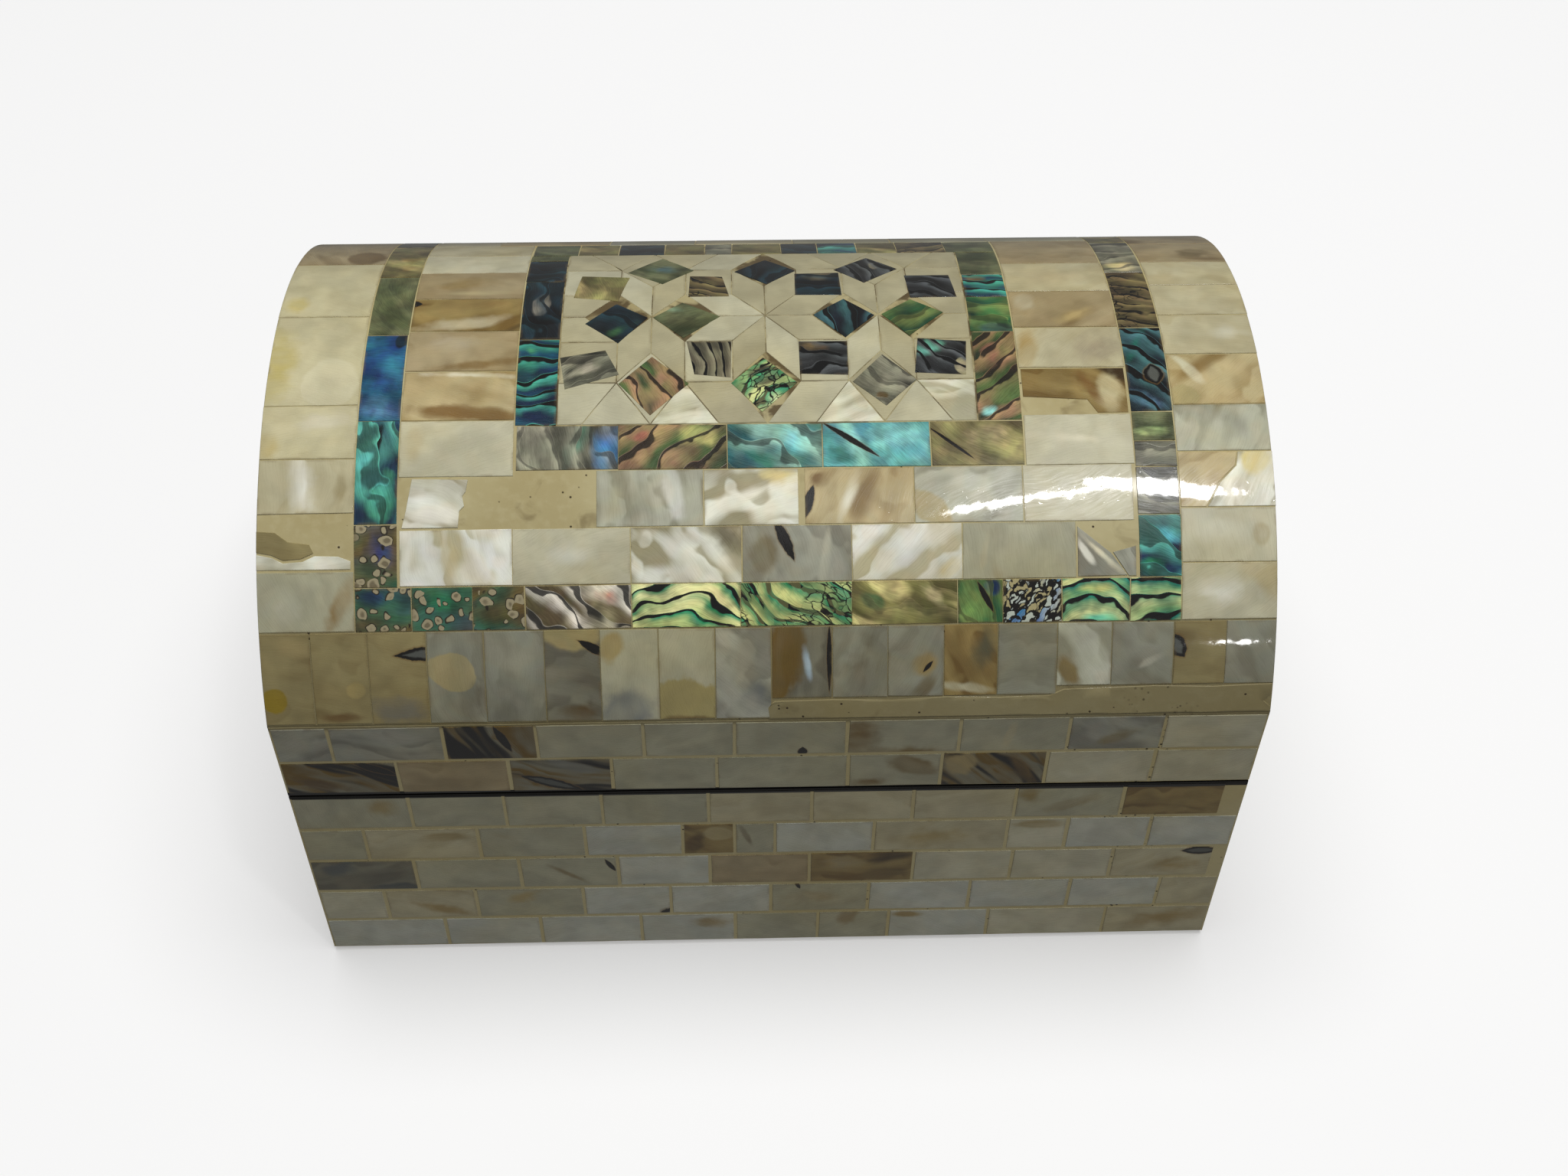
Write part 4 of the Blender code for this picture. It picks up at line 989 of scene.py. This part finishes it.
shattered = put(tree, "ShaderNodeCombineXYZ", {0: calc(tree, "MULTIPLY", along, 0.5),
                                               1: calc(tree, "MULTIPLY", across, 1.15)}).outputs[0]
_, wriggle = cloud(tree, where, 0.55, 1.0)
shattered = move(tree, "ADD", shattered, move(tree, "MULTIPLY", wriggle, (1.6, 1.6, 0.0)))
shattered = move(tree, "ADD", shattered, felt(tree, "chance"))
edge_of_shard = put(tree, "ShaderNodeTexVoronoi", {"Vector": shattered, "Scale": 1.0},
                    feature="DISTANCE_TO_EDGE").outputs[0]
shard = put(tree, "ShaderNodeSeparateColor",
            {0: put(tree, "ShaderNodeTexVoronoi", {"Vector": shattered, "Scale": 1.0}
                    ).outputs["Color"]}).outputs
crazed = calc(tree, "MULTIPLY", look[2], 1.0, clamp=True)
colour = laid_over(tree, calc(tree, "MULTIPLY", crazed, ease(tree, shard[0], 0.40, 0.45)), colour,
                   felt(tree, "first", "Color"))
colour = laid_over(tree, calc(tree, "MULTIPLY", crazed, ease(tree, shard[1], 0.60, 0.65)), colour,
                   flash_colour)
cracks = calc(tree, "MULTIPLY", calc(tree, "LESS_THAN", 0.05, crazed),
              ease(tree, calc(tree, "SUBTRACT", edge_of_shard,
                              calc(tree, "MULTIPLY", crazed, ease(tree, fine, 0.35, 0.65, 0.0, 0.22))), 0.0,
                              0.07, 1.0, 0.0))
cracks = calc(tree, "MULTIPLY", cracks,
              ease(tree, calc(tree, "ADD", drift, calc(tree, "MULTIPLY", crazed, 0.4)), 0.50, 0.60))
colour = laid_over(tree, cracks, colour, display(18, 16, 14))
riddled = move(tree, "ADD", where, move(tree, "MULTIPLY", wriggle, (1.3, 1.3, 0.0)))
worms = put(tree, "ShaderNodeTexVoronoi", {"Vector": riddled, "Scale": 0.62}).outputs
hole = calc(tree, "MULTIPLY", look[2], -1.0, clamp=True)
kind = put(tree, "ShaderNodeSeparateColor", {0: worms["Color"]}).outputs
some = ease(tree, kind[0], 0.30, 0.35)
reach = calc(tree, "SUBTRACT", worms["Distance"],
             calc(tree, "SUBTRACT", calc(tree, "MULTIPLY", kind[1], 0.44), 0.20))
for low, high, tone in ((0.40, 0.47, (38, 32, 22)), (0.33, 0.39, (172, 162, 132)),
                        (0.02, 0.20, (124, 114, 90))):
    ring = calc(tree, "MULTIPLY", calc(tree, "MULTIPLY", ease(tree, reach, low, high, 1.0, 0.0), hole), some)
    colour = laid_over(tree, ring, colour, display(*tone))
colour = flaws(tree, colour, lump, fine)
height = calc(tree, "SUBTRACT",
              calc(tree, "ADD", calc(tree, "MULTIPLY", silk, 0.5), calc(tree, "MULTIPLY", patches, 2.0)),
              calc(tree, "ADD", line, cracks))
lacquer(tree, shader, put(tree, "ShaderNodeTexCoord").outputs["Object"], height, colour,
        ease(tree, silk, 0.3, 0.7, 0.22, 0.36))
shader.inputs["Specular IOR Level"].default_value = 0.9
DARK_SEA = "midnight peacock teal emerald moss bronze slate sunset lagoon burnt"


# Outer band: a frame of abalone strips between the borders and the nacre field. Its front left
# corner is riddled with worm holes, and the strips along the front flash gold and green.
draw = random.Random(14)
outer = course((45.25, 51.75), (-35.9, -20.4, -4.4, 11.9, 27.5, 34.2, 42.9, 53.0, 60.65),
               "copper/38/0.01 ribbon/2/-0.03 gold/42 brass/20 emerald/70 crackle/-50 surf/4/-0.08 surf/-8",
               draw,
               marks={0: {"spots": [(-23.5, 46.8, 3.0, 1.6, 20, 0.9, (224, 160, 136)),
                                    (-29.5, 49.0, 3.4, 0.8, 42, 0.9, (255, 250, 240))]},
                      3: {"spots": [(15.0, 48.2, 2.0, 1.3, 20, 0.6, (52, 104, 66)),
                                    # The pale gold spot is a painted highlight.
                                    (24.0, 47.6, 2.6, 1.0, 40, 0.9, (255, 240, 190))]},
                      4: {"dagger": (31.6, 47.8, 2.8, 0.5, 62),
                          "spots": [(33.0, 46.4, 1.6, 1.4, 30, 0.4, (24, 70, 110)),
                                    (29.3, 49.6, 2.2, 2.4, 0, 0.9, (176, 206, 110))]},
                      6: {"spots": [(48.0, 46.4, 4.6, 1.4, 0, 0.8, (232, 226, 140)),
                                    (48.2, 51.2, 3.4, 1.1, 0, 0.8, (96, 212, 170))]},
                      7: {"spots": [(56.6, 50.6, 4.0, 1.3, 0, 0.8, (40, 150, 90))]}})
outer += course((45.25, 51.75), (-60.75, -52.5, -43.6, -36.0), "wormed wormed wormed", draw,
                marks={0: {"spots": [(-58.0, 46.5, 3.4, 1.8, 0, 0.9, (34, 62, 110))]},
                       1: {"spots": [(-48.0, 47.5, 3.6, 1.8, -20, 0.9, (32, 120, 76))]},
                       2: {"spots": [(-39.6, 49.6, 4.0, 1.8, 0, 0.9, (86, 68, 30))]}})
outer += course((-60.75, -54.45), (-45.2, -36.0, -28.0, -12.0, 3.7, 19.9, 36.0, 45.3),
                "teal slate bronze moss/60 lagoon/0 peacock/78 wormed", draw, down=True,
                marks={2: {"spots": [(-56.5, -18.0, 2.4, 4.0, 0, 0.9, (160, 140, 72))]},
                       4: {"spots": [(-55.2, 4.8, 1.1, 2.0, 20, 0.2, (14, 16, 22)),
                                     (-57.5, 18.0, 4.6, 2.0, 12, 1.0, (110, 166, 206))]},
                       5: {"spots": [(-56.6, 31.6, 2.2, 3.8, 10, 0.5, (86, 186, 152)),
                                     (-58.0, 25.0, 0.9, 5.4, 12, 0.4, (16, 18, 20))]},
                       6: {"spots": [(-57.0, 40.0, 2.6, 3.2, 0, 0.9, (36, 64, 118))]}})
outer += course((54.35, 60.65), (-45.2, -36.0, -26.0, -11.2, 3.8, 19.8, 24.6, 28.7, 36.0, 45.2),
                "moss bronze slate burnt/12 cove/40 moss/0 slate slate peacock/20", draw, down=True,
                # The pale cream spot on this slate strip is a painted reflection of a light behind the box.
                marks={2: {"spots": [(57.4, -13.4, 3.2, 2.2, 0, 0.9, (240, 226, 166))]},
                       3: {"spots": [(56.4, -9.0, 1.8, 2.0, 0, 0.9, (30, 24, 18))]},
                       4: {"spots": [(57.0, 18.0, 3.4, 1.2, 30, 0.9, (120, 178, 214)),
                                     (56.0, 8.0, 1.2, 5.0, 30, 0.9, (32, 112, 96))],
                                     "dagger": (58.5, 13.2, 2.0, 1.7, 80)},
                       5: {"spots": [(57.0, 23.0, 3.4, 1.0, 0, 0.8, (176, 196, 130))]},
                       8: {"spots": [(58.0, 38.8, 3.6, 1.6, 24, 0.9, (110, 224, 244)),
                                     (56.2, 43.4, 2.8, 1.6, 0, 0.7, (36, 130, 84))]}})
outer += by_rule((-51.75, -45.25), -60.75, 60.65, 16.1, DARK_SEA, draw, 0.5)
outer_band = bedded("outer_band_tiles", tile_sheet(outer, ABALONE_FINISHES, VAULT_STEP), abalone,
                    Seed=6, **TILES)
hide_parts("outer_band_front", "outer_band_back", "outer_band_left", "outer_band_right")


# Inner band: a second frame of abalone strips round the star panel, blue and mint along the front.
draw = random.Random(15)
inner = course((21.05, 28.2), (-37.3, -22.2, -6.1, 8.0, 24.1, 38.0),
               "slate/75 sunset/-35 reef/25 mint/30 bronze/30", draw,
               marks={0: {"spots": [(-23.6, 24.6, 2.4, 5.0, 12, 0.8, (78, 156, 220)),
                                    (-28.4, 24.0, 1.6, 4.4, 24, 0.7, (96, 132, 110))]},
                      1: {"spots": [(-18.4, 22.8, 3.0, 1.4, 0, 0.8, (182, 122, 94)),
                                    (-10.0, 23.0, 4.0, 1.8, 10, 0.9, (226, 222, 136))]},
                      2: {"spots": [(4.6, 23.4, 4.0, 3.0, 0, 0.8, (120, 232, 250)),
                                    (-1.0, 26.5, 5.0, 1.2, 30, 0.8, (44, 120, 96))]},
                      3: {"dagger": (12.2, 23.8, 5.4, 0.5, 34),
                          "spots": [(19.0, 23.2, 5.0, 2.4, 0, 0.9, (170, 250, 246)),
                                    (11.0, 26.6, 3.6, 1.6, 20, 0.7, (52, 136, 120))]},
                      4: {"dagger": (27.2, 24.6, 4.6, 0.3, 38),
                          "spots": [(33.0, 23.4, 4.4, 2.4, 0, 1.0, (196, 182, 134))]}})
inner += course((-37.55, -31.35), (-20.6, -18.0, -10.0, 5.0, 21.0), "moss midnight midnight/80 teal/-4/0.02",
                draw, down=True,
                marks={2: {"spots": [(-34.6, -3.2, 1.5, 3.2, 8, 0.2, (116, 112, 104)),
                                     (-34.2, 0.6, 3.8, 1.2, 0, 0.3, (10, 10, 12))]},
                       3: {"spots": [(-35.6, 7.2, 1.6, 1.0, 30, 0.9, (70, 150, 116)),
                                     (-33.8, 9.0, 2.4, 2.6, 0, 0.9, (26, 84, 122))]}})
inner += course((31.4, 38.05), (-20.6, -11.0, -4.2, 4.3, 21.0), "moss teal/0 emerald sunset/-40", draw,
                down=True,
                marks={1: {"spots": [(35.0, -7.4, 4.0, 2.4, 0, 0.7, (52, 122, 104)),
                                     (33.4, -9.6, 2.0, 1.2, 0, 0.6, (128, 106, 74))]},
                       2: {"spots": [(34.8, 0.4, 2.6, 2.8, 0, 0.4, (84, 128, 72)),
                                     (35.5, 3.6, 2.8, 1.3, 0, 0.7, (40, 62, 100))]},
                       3: {"spots": [(33.2, 19.4, 1.6, 1.1, -20, 0.7, (168, 246, 236)),
                                     (34.2, 8.6, 1.8, 2.4, 20, 0.7, (196, 134, 110))]}})
inner += course((-28.2, -20.7), (-37.4, -30.0, -23.5, -16.0, -9.5, -5.0, 3.0, 9.0, 15.5, 22.0, 30.0, 38.0),
                "moss bronze midnight bronze slate bronze midnight peacock bronze burnt moss", draw)
inner_band = bedded("inner_band_tiles", tile_sheet(inner, ABALONE_FINISHES, VAULT_STEP), abalone,
                    Seed=7, **TILES)
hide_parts("inner_band_front", "inner_band_back", "inner_band_left", "inner_band_right")


# Star panel: three eight-pointed stars side by side, an old geometric pattern. White rhombi meet at
# each star's middle, and squares of abalone stand between the rays. Bigger gaps are filled with putty.
HALF_ROOT = math.sqrt(0.5)
STAR_SIDES_ACROSS = 4.29
ONE, FAR, TIP, NEXT, LAST = (1.0 + k * HALF_ROOT if k else 1.0 for k in range(5))
STAR_SIDE_X = 31.05 / STAR_SIDES_ACROSS
STAR_SIDE_Y = 19.35 / TIP
EDGE = STAR_SIDES_ACROSS
QUARTER = (
    ("white", ((0, 0), (ONE, 0), (FAR, HALF_ROOT), (HALF_ROOT, HALF_ROOT))),
    ("white", ((0, 0), (HALF_ROOT, HALF_ROOT), (HALF_ROOT, FAR), (0, ONE))),
    ("dark", ((HALF_ROOT, HALF_ROOT), (FAR, HALF_ROOT), (FAR, FAR), (HALF_ROOT, FAR))),
    ("white", ((TIP, 0), (TIP, ONE), (FAR, FAR), (FAR, HALF_ROOT))),
    ("white", ((TIP, 0), (NEXT, HALF_ROOT), (NEXT, FAR), (TIP, ONE))),
    ("dark", ((TIP, ONE), (NEXT, FAR), (TIP, TIP), (FAR, FAR))),
    ("dark", ((NEXT, HALF_ROOT), (EDGE, HALF_ROOT), (EDGE, FAR), (NEXT, FAR))),
    ("white", ((LAST, 0), (EDGE, 0), (EDGE, HALF_ROOT), (NEXT, HALF_ROOT))),
    ("white", ((HALF_ROOT, FAR), (FAR, FAR), (ONE, TIP), (0, TIP))),
    ("white", ((FAR, FAR), (TIP, TIP), (ONE, TIP))),
    ("white", ((NEXT, FAR), (LAST, TIP), (TIP, TIP))),
    ("white", ((NEXT, FAR), (EDGE, FAR), (EDGE, TIP), (LAST, TIP))),
)


def shrunk(outline, gap):
    """An outline drawn in by half a joint all round."""
    count = len(outline)
    area = sum(p[0] * q[1] - q[0] * p[1] for p, q in zip(outline, outline[1:] + outline[:1]))
    points = []
    for i, here in enumerate(outline):
        before, after = Vector(outline[i - 1]), Vector(outline[(i + 1) % count])
        runs = ((Vector(here) - before).normalized(), (after - Vector(here)).normalized())
        normals = [Vector((-run.y, run.x)) * math.copysign(1.0, area) for run in runs]
        inward = (normals[0] + normals[1]) / (1.0 + normals[0].dot(normals[1]))
        points.append(tuple(Vector(here) + inward * gap))
    return points


draw = random.Random(16)
STAR_FINISHES = {
    "white": ((188, 182, 150), (174, 167, 136), (172, 158, 120), (0.5, 0.0, 0.1), 8.0),
    "chalk": ((202, 199, 172), (186, 182, 154), (172, 158, 120), (0.5, 0.0, 0.1), 8.0),
    # Near white: the shell's own pale tone with painted sheen.
    "pearl": ((246, 244, 224), (188, 182, 154), (180, 154, 100), (1.0, 0.0, 0.8), 2.6),
}
DARK_PIECES = (
    ("moss/-20", ((-17.3, 0.3), (-12.8, -3.4), (-6.9, 0.2), (-12.6, 5.0)),
     [(-14.0, -1.6, 3.0, 1.2, 10, 0.9, (134, 160, 130))]),
    ("midnight/25", ((-27.7, 1.6), (-23.0, -3.2), (-18.1, 0.3), (-22.5, 6.0)),
     [(-22.0, 3.0, 3.4, 1.2, -30, 0.8, (56, 96, 60))]),
    ("agate/82", ((-12.1, 5.8), (-5.2, 5.8), (-5.4, 13.0), (-10.9, 12.3)), []),
    ("slate/-20", ((-31.2, 8.8), (-24.4, 7.4), (-22.2, 12.2), (-30.3, 14.8)),
     [(-28.0, 11.6, 4.0, 1.0, -25, 0.8, (190, 184, 164))]),
    ("gold/-35", ((-0.5, 9.2), (4.6, 14.0), (-0.8, 19.1), (-5.4, 14.0)),
     [(-0.4, 12.4, 2.6, 2.3, 0, 0.3, (78, 73, 62)), (0.4, 16.8, 3.0, 1.6, -45, 0.8, (240, 244, 190))]),
    ("sunset/60", ((-17.3, 8.8), (-11.7, 14.0), (-17.5, 19.5), (-22.3, 13.9)),
     [(-16.4, 13.6, 1.5, 3.2, 20, 0.9, (190, 148, 118))]),
    ("cove/75", ((7.4, 0.0), (12.3, -4.0), (16.9, 0.2), (12.2, 5.2)), []),
    ("emerald/-35", ((18.0, 0.0), (22.7, -3.7), (27.6, -0.3), (22.0, 5.0)), []),
    ("night/-5", ((5.0, 6.0), (12.4, 6.0), (12.3, 12.7), (5.0, 12.4)),
     [(7.0, 7.0, 2.6, 1.4, 0, 0.9, (120, 98, 66))]),
    ("night/40", ((23.2, 5.6), (30.6, 6.3), (30.1, 12.9), (22.4, 12.4)),
     [(24.8, 7.4, 3.0, 1.7, -35, 0.7, (120, 200, 180)), (30.4, 11.2, 1.8, 2.0, 0, 0.1, (176, 166, 132))]),
    ("slate/30", ((17.6, 8.8), (22.6, 13.7), (17.8, 18.3), (12.9, 14.0)),
     [(17.4, 16.5, 1.2, 0.9, 0, 0.4, (96, 76, 50))]),
    ("burnt/10", ((-11.7, -11.4), (-6.6, -11.1), (-5.5, -5.0), (-11.9, -5.0)), []),
    ("midnight/0", ((4.9, -11.9), (11.9, -12.1), (12.1, -5.1), (4.8, -5.2)),
     [(8.4, -11.0, 3.6, 1.6, 0, 0.9, (110, 100, 76))]),
    ("bronze/85", ((-28.8, -11.7), (-21.2, -11.1), (-22.8, -4.0), (-29.8, -5.0)), []),
    ("night/30", ((22.3, -10.9), (29.4, -10.9), (30.1, -4.2), (22.8, -4.2)), []),
    ("midnight/90", ((-4.7, -12.8), (0.3, -17.6), (5.1, -13.0), (0.5, -8.5)), []),
    ("night/70", ((11.2, -13.2), (16.7, -18.1), (21.4, -13.3), (15.8, -8.6)),
     [(17.8, -15.0, 1.0, 1.8, 0, 0.3, (150, 142, 122))]),
    ("moss/30", ((-21.6, -12.8), (-16.2, -18.6), (-11.1, -13.4), (-16.0, -8.8)),
     [(-16.0, -14.0, 3.0, 2.0, 0, 0.9, (60, 100, 110))]),
)
PEARL_PIECES = {(9, 1, 1), (9, -1, 1), (11, 1, 1)}
OUTER_X, OUTER_S = 31.3, 20.95
white_pieces = []


def star_piece(k, outline, sign_x, sign_s):
    """One white piece of the panel, sawn by eye; those at the edge reach to the bands. White fills up
    what an abalone piece leaves open."""
    points = []
    for x, s in outline:
        points.append((math.copysign(OUTER_X, x) if abs(x) == EDGE else x * STAR_SIDE_X,
                       math.copysign(OUTER_S, s) if abs(s) == TIP else s * STAR_SIDE_Y))
    points = [(x + draw.uniform(-0.03, 0.03), s + draw.uniform(-0.03, 0.03)) for x, s in shrunk(points, 0.05)]
    words = "pearl" if (k, sign_x, sign_s) in PEARL_PIECES else draw.choice(("white", "white", "chalk"))
    white_pieces.append(tile(points, words, draw))


for sign_x in (1, -1):
    for sign_s in (1, -1):
        for k, (kind, outline) in enumerate(QUARTER):
            star_piece(k, [(x * sign_x, y * sign_s) for x, y in outline], sign_x, sign_s)
dark_pieces = [tile(list(outline), words, draw, spots=spots) for words, outline, spots in DARK_PIECES]
star_white = bedded("star_white_pieces", tile_sheet(white_pieces, STAR_FINISHES, VAULT_STEP), nacre, Seed=8,
                    **{**TILES, "Uneven": 0.000012, "Sink": 0.00005})
star_dark = bedded("star_abalone_pieces", tile_sheet(dark_pieces, ABALONE_FINISHES, VAULT_STEP),
                   abalone, Seed=9, **{**TILES, "Uneven": 0.000012})
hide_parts("star_panel")
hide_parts("star_panel")


# Walls: plain courses of nacre, two on the lid and five on the base, with staggered joints. On the ends
# the courses go on up into the arch, where each tile is trimmed to the curve.
def wall_tiles(part, side, tiles, *nodes):
    """Beds the tiles of one wall."""
    piece = bedded(part + "_" + side + "_tiles", tile_sheet(tiles, NACRE_FINISHES), nacre, place=WALLS[side],
                   Seed=len(tiles), **TILES)
    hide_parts(*nodes)


draw = random.Random(17)
WALL_END = 74.8
END_REACH = 51.2
WALL_JOINT = 0.28
WALL_TILE = 16.4
LID_COURSES = ((66.75, 75.0), (75.1, 83.4))
BASE_COURSES = ((83.9, 92.3), (92.5, 100.9), (101.1, 109.5), (109.7, 118.1), (118.3, 126.6))
ARCH_COURSES = ((58.0, 66.55), (49.4, 57.9), (40.8, 49.3), (32.2, 40.7))
lid_front = course(LID_COURSES[0],
                   (-WALL_END, -66.3, -49.3, -35.4, -19.3, -5.6, 11.4, 28.5, 45.0, 59.4, WALL_END),
                   "smoke smoke/10 streaked/70 bone bone bone bone/0 bone smoke chalk", draw,
                   joint=WALL_JOINT,
                   marks={2: {"dagger": (-40.4, 70.0, 3.6, 0.8, 70)},
                          5: {"dagger": (4.7, 74.2, 1.2, 0.8, 90)},
                          6: {"spots": [(13.0, 71.0, 3.6, 6.4, 20, 0.8, (126, 100, 46)),
                                        (21.0, 75.0, 9.0, 2.0, 0, 0.9, (132, 108, 54))]},
                          7: {"spots": [(36.0, 71.0, 1.0, 4.0, 10, 0.5, (196, 188, 156))]},
                          8: {"spots": [(52.0, 72.0, 5.0, 1.6, -30, 0.9, (146, 132, 96))]}})
lid_front += course(LID_COURSES[1], (-WALL_END, -57.2, -40.2, -24.5, -8.4, 11.8, 26.2, 42.4, 59.0, WALL_END),
                    "streaked/25 rose streaked/15 bone bone bone/20 streaked/50 chalk chalk/-20", draw,
                    joint=WALL_JOINT,
                    marks={0: {"dagger": (-60.5, 76.7, 3.9, 0.9, 28),
                               "spots": [(-70.0, 80.5, 5.4, 1.8, 20, 0.6, (96, 74, 36))]},
                           2: {"dagger": (-34.0, 81.0, 5.5, 1.2, 22),
                               "spots": [(-30.0, 77.0, 4.6, 1.2, 24, 0.6, (130, 132, 126))]},
                           5: {"spots": [(22.0, 78.0, 4.6, 2.4, 14, 0.6, (132, 110, 62)),
                                         (15.0, 82.0, 4.0, 1.6, 0, 0.8, (128, 106, 60))]},
                           6: {"spots": [(29.0, 77.6, 2.6, 2.8, 0, 0.4, (176, 158, 110)),
                                         (38.6, 78.6, 1.4, 6.0, -30, 0.7, (116, 92, 44))]}})


# The pale milk tiles gather towards the foot: partly painted reflection of the floor in the lacquer.
base_front = course(BASE_COURSES[0], (-WALL_END, -56.6, -41.8, -26.6, -9.9, 6.4, 22.4, 38.6, 55.6, 71.6),
                    "bone/80 bone bone bone cream cream cream bone umber/0", draw, joint=WALL_JOINT,
                    marks={0: {"spots": [(-61.0, 87.0, 2.6, 3.0, 20, 0.8, (168, 150, 102))]},
                           7: {"spots": [(40.6, 86.0, 2.2, 2.6, 0, 0.7, (156, 138, 88)),
                                         (48.0, 88.6, 6.0, 1.4, -26, 0.9, (150, 132, 88))]}})
base_front += course(BASE_COURSES[1],
                     (-WALL_END, -64.8, -46.8, -29.8, -14.2, -5.9, 0.6, 16.5, 38.0, 47.6, 61.0, WALL_END),
                     "bone cream bone milk umber/30 bone milk cream chalk milk milk", draw, joint=WALL_JOINT,
                     marks={1: {"spots": [(-52.0, 94.6, 5.0, 1.8, 0, 0.7, (164, 146, 98))]},
                            4: {"spots": [(-8.6, 95.2, 2.4, 2.0, 0, 0.3, (190, 176, 130)),
                                          (-12.4, 98.0, 1.8, 3.4, 20, 0.6, (100, 78, 40))]},
                            5: {"spots": [(-4.0, 96.0, 0.7, 4.0, -20, 0.6, (132, 122, 96))]},
                            7: {"spots": [(26.0, 97.0, 8.0, 3.0, -10, 0.9, (182, 164, 112))]},
                            8: {"spots": [(43.0, 94.0, 4.6, 1.4, 0, 0.6, (172, 154, 104))]}})
base_front += course(BASE_COURSES[2], (-WALL_END, -58.0, -41.0, -25.0, -10.0, 6.3, 23.3, 39.5, 56.0, 72.7),
                     "dusk/-15 bone bone milk rose/10 umber/0 chalk chalk cream", draw, joint=WALL_JOINT,
                     marks={0: {"spots": [(-70.0, 103.0, 4.0, 2.4, -20, 0.7, (96, 102, 104)),
                                          (-61.0, 108.6, 5.0, 1.2, 0, 0.6, (70, 78, 82))]},
                            2: {"dagger": (-26.2, 103.5, 2.0, 0.5, 65),
                                "spots": [(-33.0, 106.0, 5.6, 0.8, 40, 0.7, (148, 134, 98))]},
                            5: {"spots": [(11.5, 104.0, 4.0, 2.4, 0, 0.8, (166, 152, 116)),
                                          (18.0, 107.6, 5.0, 1.6, -14, 0.6, (130, 108, 62))]},
                            8: {"dagger": (70.4, 102.2, 3.4, 1.2, 0),
                                "spots": [(66.0, 106.0, 5.0, 3.0, 0, 0.9, (170, 148, 92))]}})
base_front += course(BASE_COURSES[3],
                     (-WALL_END, -64.0, -49.0, -31.2, -16.7, 0.0, 16.3, 33.2, 50.0, 65.0, WALL_END),
                     "chalk cream bone milk milk bone milk milk milk cream", draw, joint=WALL_JOINT,
                     marks={1: {"spots": [(-55.0, 115.4, 6.4, 1.8, 22, 0.6, (172, 150, 96))]},
                            2: {"spots": [(-41.0, 112.0, 4.6, 2.6, -30, 0.8, (180, 162, 112))]},
                            3: {"dagger": (-16.6, 118.4, 3.0, 2.2, -35)},
                            5: {"dagger": (4.4, 110.2, 1.2, 0.4, 70),
                                "spots": [(8.0, 114.0, 7.0, 3.4, 0, 1.0, (170, 156, 118))]}})
base_front += course(BASE_COURSES[4], (-WALL_END, -55.0, -39.0, -22.0, -6.0, 8.0, 20.0, 37.0, 57.0, WALL_END),
                     "milk milk milk milk bone bone milk chalk cream", draw, joint=WALL_JOINT,
                     marks={3: {"spots": [(-10.0, 121.0, 4.0, 2.0, 0, 0.8, (170, 148, 98))]},
                            5: {"spots": [(13.0, 120.0, 2.0, 4.0, 20, 0.6, (160, 144, 106))]},
                            6: {"spots": [(23.0, 119.6, 3.6, 1.2, 0, 0.6, (172, 150, 98))]},
                            8: {"spots": [(68.0, 121.6, 8.0, 3.6, -10, 0.8, (176, 152, 94))]}})
wall_tiles("lid", "front", lid_front, "lid_front_course_1", "lid_front_course_2")
wall_tiles("base", "front", base_front, *("base_front_course_%d" % k for k in range(1, 6)))


def courses(levels, reach):
    """Courses of a wall that is not seen, their joints staggered from one course to the next."""
    tiles = []
    for k, edges in enumerate(levels):
        tiles += by_rule(edges, -reach, reach, WALL_TILE, EVERY_DAY, draw,
                         0.05 + 0.5 * (k % 2) + draw.uniform(0, 0.15), joint=WALL_JOINT)
    return tiles


def trimmed(outline, radius):
    """An outline cut off where it would stand over the curve of the vault."""
    centre = CREASE_TO_FLOOR - CROWN + VAULT_RADIUS
    for k in range(-22, 23):
        normal = Vector((math.sin(math.radians(k * 3)), -math.cos(math.radians(k * 3))))
        kept = []
        for here, after in zip(outline, outline[1:] + outline[:1]):
            inside = [normal.dot(Vector((x, s - centre))) - radius for x, s in (here, after)]
            if inside[0] <= 0:
                kept.append(here)
            if inside[0] * inside[1] < 0:
                share = inside[0] / (inside[0] - inside[1])
                kept.append(tuple(Vector(here).lerp(Vector(after), share)))
        outline = kept
        if len(outline) < 3:
            return None
    return outline


for side, reach in (("back", WALL_END), ("left", END_REACH), ("right", END_REACH)):
    tiles = courses(LID_COURSES, reach)
    nodes = ["lid_%s_course_%d" % (side, k) for k in (1, 2)]
    if side != "back":
        for one in courses(ARCH_COURSES, reach):
            one["outline"] = trimmed(one["outline"], VAULT_RADIUS - 0.6)
            if one["outline"]:
                tiles.append(one)
        nodes += ["lid_%s_arch_course_%d" % (side, k) for k in range(1, 5)]
    wall_tiles("lid", side, tiles, *nodes)
    wall_tiles("base", side, courses(BASE_COURSES, reach),
               *("base_%s_course_%d" % (side, k) for k in range(1, 6)))
